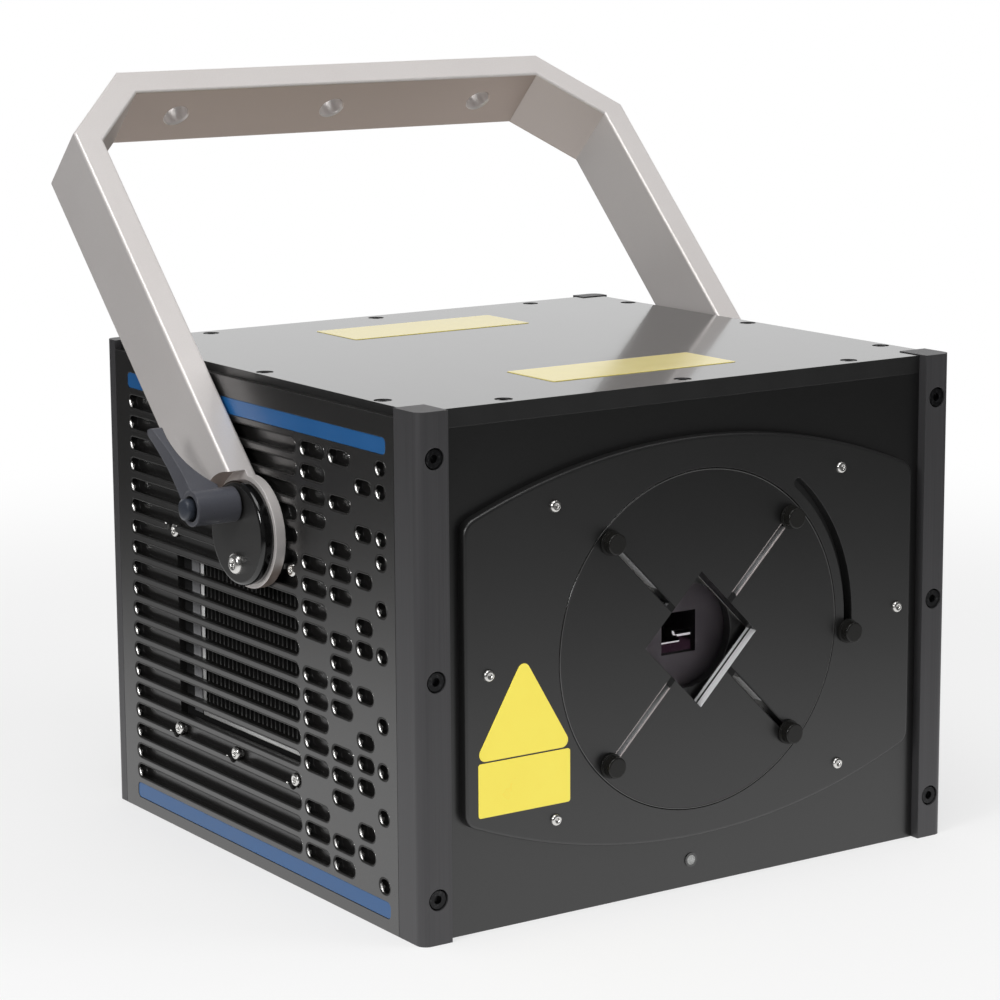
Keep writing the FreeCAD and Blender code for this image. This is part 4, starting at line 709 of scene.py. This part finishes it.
def rounded_outline(corners, radius, steps):
    """Anticlockwise polygon with arcs at its corners.

    Each arc's centre lies inside its corner by the radius along both edges' normals.
    """
    corners = np.array(corners)
    into = corners - np.roll(corners, 1, 0)
    out = np.roll(corners, -1, 0) - corners
    first = np.stack([into[:, 1], -into[:, 0]], -1) / np.linalg.norm(into, axis=1)[:, None]
    last = np.stack([out[:, 1], -out[:, 0]], -1) / np.linalg.norm(out, axis=1)[:, None]
    cosine = (first * last).sum(1)
    centre = corners - (first + last) * (radius / (1 + cosine))[:, None]
    first_angle = np.arctan2(first[:, 1], first[:, 0])
    angle = first_angle[:, None] + np.arccos(cosine)[:, None] * np.linspace(0, 1, steps)
    arcs = centre[:, None] + radius * np.stack([np.cos(angle), np.sin(angle)], -1)
    return arcs.reshape(-1, 2)


plate_thickness = 0.3 * mm
plate_rows = np.array([(0.0, 1.0), (0.6, 1.0), (0.97, 1.0), (0.99, 0.93), (1.0, 0.6), (1.0, 0.03),
                       (0.0, 0.03)])


def thin_plate(name, outline, place, finish, body="housing"):
    """Plate on a face: its outline drawn in to the middle by a row of shares, at a row of heights.

    The place function turns flat coordinates and a height into points of the part.
    """
    middle = outline.mean(0)
    flat = middle + plate_rows[:, 0, None, None] * (outline - middle)
    height = np.broadcast_to(plate_rows[:, 1, None] * plate_thickness, flat.shape[:2])
    points = place(flat[..., 0], flat[..., 1], height).reshape(-1, 3)
    faces = grid_faces(len(plate_rows), len(outline))
    plate = surface(name, points, faces[:, ::-1], smooth=False)
    plate.data.materials.append(finish.material)
    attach(plate, body)


def plate_finish(name, low, high, roughness, painted_glow=0.0):
    """Printed film: even colour with faint mottling under a clear gloss; a bright film also glows, as painted
    light.
    """
    made = Finish(name, low, 0.3, emission_strength=painted_glow)
    mottle = made.noise(45.0)
    grain = made.noise(1800.0)
    film = made.tint(low, high, mottle * 0.6 + grain * 0.4)
    made.set("Base Color", film)
    made.set("Emission Color", film)
    made.set("Roughness", roughness + mottle * 0.1)
    made.relief(grain, 0.03, fine_relief)
    return made


lid_top = 241.6 * mm
lid_plate_half = np.array([53.5, 19.5]) * mm
lid_plate_offset = 87.0 * mm
lid_plate_corner = 1.2 * mm
rectangle = np.array([(-1.0, -1.0), (1.0, -1.0), (1.0, 1.0), (-1.0, 1.0)])
pale_yellow = plate_finish("pale_plate", (0.66, 0.55, 0.15), (0.74, 0.63, 0.21), roughness=0.10)


def on_lid(u, v, height):
    """Points on the lid: height stands up."""
    return np.stack([u, v, lid_top + height], -1)


for end, offset in (("front", -lid_plate_offset), ("rear", lid_plate_offset)):
    outline = rounded_outline(rectangle * lid_plate_half + (0.0, offset), lid_plate_corner, steps=5)
    thin_plate("lid_plate_" + end, outline, on_lid, pale_yellow)


# Front panel: a thick black anodised plate held behind the posts, with a small lamp near its lower edge.
# The lamp is a clear domed lens in a dark rim, pressed in from the front.
panel_black = satin_black_finish("panel_black", grey(0.003), grey(0.007),
                                 grain_scale=2200.0, strength=0.12, roughness=0.24, ior=1.7)
dress(panel_black, "front_panel")
lens_rim = (2.0 * mm, 2.5 * mm)


def lamp_finish():
    """Clear grey lens whose rim darkens outside the lens radius."""
    made = Finish("lamp_lens", (0.45, 0.46, 0.47), 0.18, coat_weight=0.6)
    x, z = made.place().axes()[::2]
    across = x - float(np.array(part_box("emission_lamp"))[:, 0].mean())
    level = z - float(np.array(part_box("emission_lamp"))[:, 2].mean())
    radius = (across * across + level * level).root()
    haze = made.noise(700.0)
    made.set("Base Color", made.tint((0.50, 0.51, 0.50), grey(0.05), radius.fade(*lens_rim)))
    made.set("Roughness", 0.12 + haze * 0.14)
    return made


dress(lamp_finish(), "emission_lamp")


# Masking plate: barrel-shaped black plate screwed to the front panel, recessed behind for the disc.
# A bare triangular plate and a bare oblong plate are stuck to its lower left.
mask_black = satin_black_finish("mask_black", grey(0.006), grey(0.012),
                                grain_scale=1900.0, strength=0.2, roughness=0.29, ior=1.7)
dress(mask_black, "mask_plate")

mask_face = -147.0 * mm
# The signal film's glow is painted light that makes it brighter than the lamps do.
signal_yellow = plate_finish("signal_plate", (0.90, 0.74, 0.085), (0.97, 0.84, 0.13),
                             roughness=0.24, painted_glow=0.24)
triangle_corners = np.array([(-125.6, 80.8), (-72.0, 80.8), (-98.8, 126.4)]) * mm
oblong_corners = np.array([(-123.6, 54.8), (-73.4, 54.8), (-73.4, 80.0), (-123.6, 80.0)]) * mm


def on_mask(u, v, height):
    """Points on the masking plate's face: height stands out to the front."""
    return np.stack([u, mask_face - height, v], -1)


def on_mask_thin(u, v, height):
    """Points on the face for a film a fifth as thick."""
    return on_mask(u, v, height / 5)


mask_screw_x = 83.2 * mm
mask_screw_z = 72.8 * mm
mask_side_screw_x = 119.6 * mm
mask_screw_offsets = [(sx * mask_screw_x, sz * mask_screw_z) for sx in signs for sz in signs]
mask_screw_offsets += [(-mask_side_screw_x, 0.0), (mask_side_screw_x, 0.0)]
disc_centre = np.array([1.8, 120.2]) * mm
mask_seats = np.insert(np.array(mask_screw_offsets) + disc_centre, 1, mask_face, axis=1)
mask_outward = [(0.0, -1.0, 0.0)] * len(mask_seats)
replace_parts(button_heads("mask_heads", mask_seats, mask_outward, 2.85 * mm, 1.65 * mm), "mask_screws")
triangle_outline = rounded_outline(triangle_corners, radius=3.4 * mm, steps=9)
oblong_outline = rounded_outline(oblong_corners, radius=1.2 * mm, steps=5)
thin_plate("triangle_plate", triangle_outline, on_mask, signal_yellow)
thin_plate("oblong_plate", oblong_outline, on_mask, signal_yellow)


# Masking disc: turns flush in the plate, with a square opening on its corner and four slots for the blades.
# Its walls that look up are painted bright metal, a painted highlight of the light from above, and two of the
# slots' lips are rubbed to bright metal. A fine glossy lip runs round its edge, and black pads, painted shade
# of the slots, lead each slot on to the opening.
disc_radius = 80.8 * mm
opening_half_diagonal = 32.5 * mm
mouth_start = opening_half_diagonal * math.sqrt(0.5)
slot_bridge = 3.0 * mm
disc_slot_start = mouth_start + slot_bridge
disc_slot_end = 75.6 * mm
disc_slot_width = 3.2 * mm
opening_reach = 33.0 * mm
left_rub_start = 36.8 * mm
right_rub_end = 51.8 * mm
wall_groove = (-142.8 * mm, -141.5 * mm)


def disc_finish():
    """Satin black; walls painted bare metal where they look up, a painted highlight, and bare along two
    slots, with a dark groove.
    """
    made = Finish("disc_black", grey(0.012), 0.4, ior=1.65)
    grain = made.noise(1900.0, detail=2.0)
    clouds = made.noise(14.0)
    x, y, z = made.place().axes()
    front_part, up_part = made.normal()[1:]
    across = x - float(disc_centre[0])
    level = z - float(disc_centre[1])
    radius = (across * across + level * level).root()
    groove = (y > wall_groove[0]) * (y < wall_groove[1]) * (radius < opening_reach)
    left_slots = (across < 0.0) * (radius > left_rub_start)
    right_slots = (across > 0.0) * (radius > opening_reach) * (radius < right_rub_end)
    wall = (abs(front_part) < 0.5) * (radius < disc_slot_end + disc_slot_width)
    # Walls that look up are made bare bright metal: a painted highlight of the light from above.
    bare = wall * ((up_part > 0.2) | left_slots | right_slots) * (1.0 - groove)
    coat = made.tint(grey(0.005), grey(0.010), clouds * 0.5 + grain * 0.5)
    milled = made.tint((0.60, 0.60, 0.61), (0.84, 0.84, 0.85), grain)
    made.set("Base Color", made.tint(coat, milled, bare))
    made.set("Roughness", 0.27 + grain * 0.14)
    made.relief(grain, 0.2, fine_relief)
    return made


dress(disc_finish(), "mask_disc")


def bare_edge_finish():
    """Cut aluminium edge, bare on the rising pair of slots and still black on the falling pair."""
    made = Finish("bare_edge", (0.62, 0.57, 0.55), 0.35, 0.4)
    lines = made.noise(2500.0)
    x, z = made.place().axes()[::2]
    rising = (x - float(disc_centre[0])) * (z - float(disc_centre[1])) > 0.0
    bare = made.tint((0.36, 0.325, 0.32), (0.60, 0.55, 0.54), lines)
    made.set("Base Color", made.tint(grey(0.010), bare, rising))
    made.set("Roughness", 0.28 + lines * 0.16)
    return made


bare_edge = bare_edge_finish()
corner_names = ("upper_right", "upper_left", "lower_left", "lower_right")
corner_slants = math.radians(45.0) + np.arange(len(corner_names)) * math.pi / 2
disc_lip_profile = np.array([(-0.22, -0.02), (0.05, -0.05), (0.34, 0.16), (0.40, 0.50), (-0.20, 0.55),
                             (-0.22, -0.02)]) * mm


def disc_slot_lips():
    """Lips round the four slots: one slot's lip turned by a quarter for each of the others."""
    along, across, deep = slot_lips(np.array([disc_slot_start]), np.array([disc_slot_end]), np.array([0.0]),
                                    disc_slot_width, disc_lip_profile, short_slot_steps)
    angle = corner_slants[:, None, None]
    x = disc_centre[0] + along * np.cos(angle) - across * np.sin(angle)
    z = disc_centre[1] + along * np.sin(angle) + across * np.cos(angle)
    y = mask_face + np.broadcast_to(deep, x.shape)
    lips = surface("disc_slot_lips", np.stack([x, y, z], -1).reshape(-1, 3), lip_faces(*x.shape))
    lips.data.materials.append(bare_edge.material)
    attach(lips, "masking_disc")


disc_slot_lips()
mouth_end = disc_slot_start + disc_slot_width / 2
for corner, slant in zip(corner_names, corner_slants):
    along = np.array([math.cos(slant), math.sin(slant)])
    sideways = np.array([-along[1], along[0]]) * disc_slot_width / 2
    mouth = [mouth_start * along - sideways, mouth_end * along - sideways,
             mouth_end * along + sideways, mouth_start * along + sideways]
    outline = rounded_outline(np.array(mouth) + disc_centre, radius=0.2 * mm, steps=3)
    # Each pad is painted shade: a near-black sheet where the slot's dark runs on to the opening.
    thin_plate("slot_shade_pad_" + corner, outline, on_mask_thin, shade_foam, "masking_disc")
edge_profile = np.array([(0.70, 0.10), (0.50, -0.05), (0.15, -0.08), (-0.05, 0.08), (-0.08, 0.50),
                         (0.70, 0.60), (0.70, 0.10)]) * mm
edge_columns = 320


def disc_edge_lip():
    """Ring: a profile of (inward, deep) rows carried round the disc's edge."""
    angle = np.linspace(0.0, 2 * math.pi, edge_columns, endpoint=False)
    radius = disc_radius - edge_profile[:, :1]
    x = disc_centre[0] + radius * np.cos(angle)
    z = disc_centre[1] + radius * np.sin(angle)
    y = np.broadcast_to(mask_face + edge_profile[:, 1:], x.shape)
    faces = grid_faces(len(edge_profile), edge_columns)[:, ::-1]
    ring = surface("disc_edge_lip", np.stack([x, y, z], -1).reshape(-1, 3), faces)
    ring.data.materials.append(lip_finish("disc_lip", wear=0.0, roughness=0.12, ior=2.0).material)
    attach(ring, "masking_disc")


disc_edge_lip()


# Blades and thumb screws: thin bright steel blades slide behind the disc, each on a knurled black knob.
# One more knob, in the arc slot, clamps the disc. Friction washers under the yoke's eyes match the knobs.
dress(stainless, *["blade_" + corner for corner in corner_names])


def knob_finish():
    """Black moulding with a warm cast, grained on its crown and smoother round its knurled side."""
    made = Finish("knob_black", (0.014, 0.0135, 0.012), 0.45, ior=1.4)
    grain = made.noise(1500.0)
    rub = made.noise(160.0)
    side = made.facing()[1] < 0.9
    share = rub * 0.5 + grain * 0.5
    made.set("Base Color", made.tint((0.006, 0.0058, 0.0054), (0.014, 0.0135, 0.0120), share))
    made.set("Roughness", 0.38 + grain * 0.14 - side * 0.2)
    made.relief(grain, 0.25, fine_relief, soft_arris)
    return made


knob_black = knob_finish()
dress(knob_black, "clamp_knob", "friction_washers", *["blade_knob_" + corner for corner in corner_names])


# Beam window: coated glass in a black frame, and behind it the scanner block with a square aperture.
# Two small motors in the block swing the mirrors, whose edges glow white in the aperture as painted
# highlights.
def glass_finish():
    """Clear glass with a faint violet coat against reflections, a little uneven."""
    made = Finish("window_coated", (0.90, 0.86, 0.95), 0.03, 0.0, transmission_weight=1.0, ior=1.04)
    unevenness = made.noise(25.0)
    made.set("Base Color", made.tint((0.93, 0.90, 0.935), (0.97, 0.94, 0.975), unevenness))
    made.set("Roughness", 0.01 + unevenness * 0.02)
    return made


dress(glass_finish(), "window_glass")
dress(panel_black, "window_frame", "scanner_pedestal")
block_face = float(np.array(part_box("scanner_block"))[0, 1])
block_coat = 0.2 * mm
painted_glow_levels = (109.5 * mm, 106.5 * mm)


def scanner_finish():
    """Dark brown-grey coat on the block's face; inside, flat black above and a painted violet glow below."""
    made = Finish("scanner_dark", (0.04, 0.036, 0.038), 0.4, emission_strength=1.0)
    y, z = made.place().axes()[1:]
    clouds = made.noise(60.0)
    face = made.tint((0.092, 0.085, 0.089), (0.114, 0.106, 0.110), clouds)
    inside = y > block_face + block_coat
    low = inside * z.fade(*painted_glow_levels)
    made.set("Base Color", made.tint(face, grey(0.003), inside))
    # Low inside, a violet glow is painted light standing for light from the coated glass.
    made.set("Emission Color", made.tint(black, (0.018, 0.009, 0.0145), low))
    made.set("Roughness", 0.38 + clouds * 0.1 + inside * 0.3)
    return made


dress(scanner_finish(), "scanner_block")


def motor_finish():
    """Turned dark aluminium cans with fine marks from the lathe."""
    made = Finish("motor_can", (0.05, 0.05, 0.055), 0.35, 0.7)
    marks = made.noise(1200.0, detail=1.0)
    made.set("Base Color", made.tint((0.035, 0.035, 0.038), (0.075, 0.075, 0.080), marks))
    made.set("Roughness", 0.28 + marks * 0.18)
    return made


dress(motor_finish(), "galvo_motors")


def mirror_finish(name, faces):
    """Silvered plate with a trace of haze; its ground edges glow white, a painted highlight.

    Edges are parted from the mirror by how the surface faces.
    """
    made = Finish(name, (0.92, 0.92, 0.94), 0.04, 1.0, emission_strength=0.5)
    haze = made.noise(400.0)
    toward = made.node("VectorMath", {"operation": "DOT_PRODUCT"},
                       {0: made.node("TexCoord", output="Normal"), 1: faces}, output="Value")
    edge = abs(toward) < 0.6
    made.set("Base Color", made.tint((0.86, 0.86, 0.88), (0.95, 0.95, 0.96), haze))
    # Edges glow white through emission: a painted highlight.
    made.set("Emission Color", made.tint(black, white, edge))
    made.set("Metallic", 1.0 - edge)
    made.set("Roughness", 0.02 + haze * 0.05 + edge * 0.5)
    return made


mirror_lean = math.radians(40.0)
lean_front = -math.sin(mirror_lean)
lean_up = math.cos(mirror_lean)
dress(mirror_finish("mirror_level", (0.0, lean_front, lean_up)), "scan_mirror_y")
dress(mirror_finish("mirror_upright", (-lean_up, lean_front, 0.0)), "scan_mirror_x")


# Yoke and pivots: a flat aluminium bar with bent shoulders and thinned round eyes, finely blasted.
# Each eye turns on a steel hub in the side panel and is clamped under a black cap by a screw and a lever.
def yoke_finish():
    """Blasted aluminium: fine grain, slow mottling and a warm cast, dimmer where it faces down as painted
    shade.
    """
    made = Finish("yoke_satin", (0.5, 0.47, 0.45), 0.4, 0.5)
    grain = made.noise(1700.0, detail=2.0)
    mottle = made.noise(18.0)
    up_part = made.normal()[2]
    lit = made.tint((0.75, 0.705, 0.685), (0.89, 0.855, 0.84), mottle * 0.5 + grain * 0.5)
    # Faces that look down are darkened and browned: painted shade.
    made.set("Base Color", made.tint(lit, (0.45, 0.37, 0.325), up_part.fade(-0.3, -0.65)))
    made.set("Roughness", 0.36 + grain * 0.14)
    made.relief(grain, 0.2, fine_relief, edge=0.5 * mm)
    return made


dress(yoke_finish(), "yoke")
dress(stainless, "pivot_hub_left", "pivot_hub_right")


def cap_finish():
    """Black cap: satin on its flat face, glossy on the turned rim, parted by how the surface faces."""
    made = Finish("cap_black", grey(0.010), 0.3, ior=1.6)
    smear = made.noise(60.0)
    flat = made.facing()[0] > 0.97
    made.set("Base Color", made.tint(grey(0.005), (0.014, 0.0137, 0.0133), flat))
    made.set("Roughness", 0.05 + flat * 0.34 + smear * 0.06)
    return made


dress(cap_finish(), "pivot_cap_left", "pivot_cap_right")
cap_face = 166.5 * mm
cap_screw_drop = 14.4 * mm
cap_seats = [(sign * cap_face, pivot_place[0], pivot_place[1] - cap_screw_drop) for sign in signs]
cap_outward = [(sign, 0.0, 0.0) for sign in signs]
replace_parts(button_heads("cap_heads", cap_seats, cap_outward, 5.2 * mm, 2.6 * mm), "cap_screws")


# Clamp levers: moulded slate-grey handles on steel studs, each with a domed push button at its pivot.
# The moulding is finely grained, with slow paler patches as from hands.
def lever_finish(name, low, high):
    """Grained moulding: fine grain and slow patches mix a darker and a paler slate."""
    made = Finish(name, low, 0.42)
    grain = made.noise(1200.0)
    rub = made.noise(70.0)
    made.set("Base Color", made.tint(low, high, grain * 0.5 + rub * 0.5))
    made.set("Roughness", 0.24 + grain * 0.12)
    made.relief(grain, 0.15, fine_relief, edge=1.2 * mm)
    return made


dress(lever_finish("lever_slate", (0.060, 0.061, 0.072), (0.100, 0.103, 0.120)),
      "lever_handle_left", "lever_handle_right")
button_slate = lever_finish("button_slate", (0.024, 0.029, 0.040), (0.048, 0.056, 0.074))
dress(button_slate, "lever_button_left", "lever_button_right")
dome_shape = np.array([(0.00, 1.00), (0.35, 0.97), (0.65, 0.86), (0.86, 0.62), (0.97, 0.25), (1.00, -0.10),
                       (1.00, -6.00), (0.00, -6.00)])
dome_size = (5.0 * mm, 0.7 * mm)
lever_end = 194.1 * mm
lever_rise = 14.4 * mm
for side, sign in zip(sides, signs):
    seat = (sign * lever_end, pivot_place[0], pivot_place[1] + lever_rise)
    dome = turned("lever_dome_" + side, [seat], [(sign, 0.0, 0.0)], dome_shape * dome_size,
                  button_slate, "clamp_handle_" + side)
    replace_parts(dome, "lever_button_" + side)
dress(black_screw, "lever_stud_left", "lever_stud_right")


# Rear panel: thin coated sheet with a fan behind a plated guard, a row of sockets and a key switch.
# The fan and socket bodies are black mouldings, pushed in or screwed from outside.
dress(coated_black, "rear_panel")


def moulded_black_finish():
    """Black moulding with a fine spark-eroded grain."""
    made = Finish("moulded_black", grey(0.014), 0.5)
    grain = made.noise(800.0)
    made.set("Base Color", made.tint(grey(0.010), (0.022, 0.022, 0.023), grain))
    made.set("Roughness", 0.40 + grain * 0.2)
    made.relief(grain, 0.3, fine_relief, soft_arris)
    return made


dress(moulded_black_finish(), "fan_frame", "fan_rotor", "power_inlet", "network_jack", "interlock_socket")


def plated_finish():
    """Nickel plate over drawn wire and pressed sheet."""
    made = Finish("nickel_plate", grey(0.66), 0.2, 1.0)
    haze = made.noise(300.0)
    made.set("Base Color", made.tint((0.58, 0.58, 0.57), (0.74, 0.74, 0.73), haze))
    made.set("Roughness", 0.14 + haze * 0.18)
    made.relief(haze, 0.1, fine_relief)
    return made


dress(plated_finish(), "fan_guard", "signal_socket", "key_switch", "switch_key")
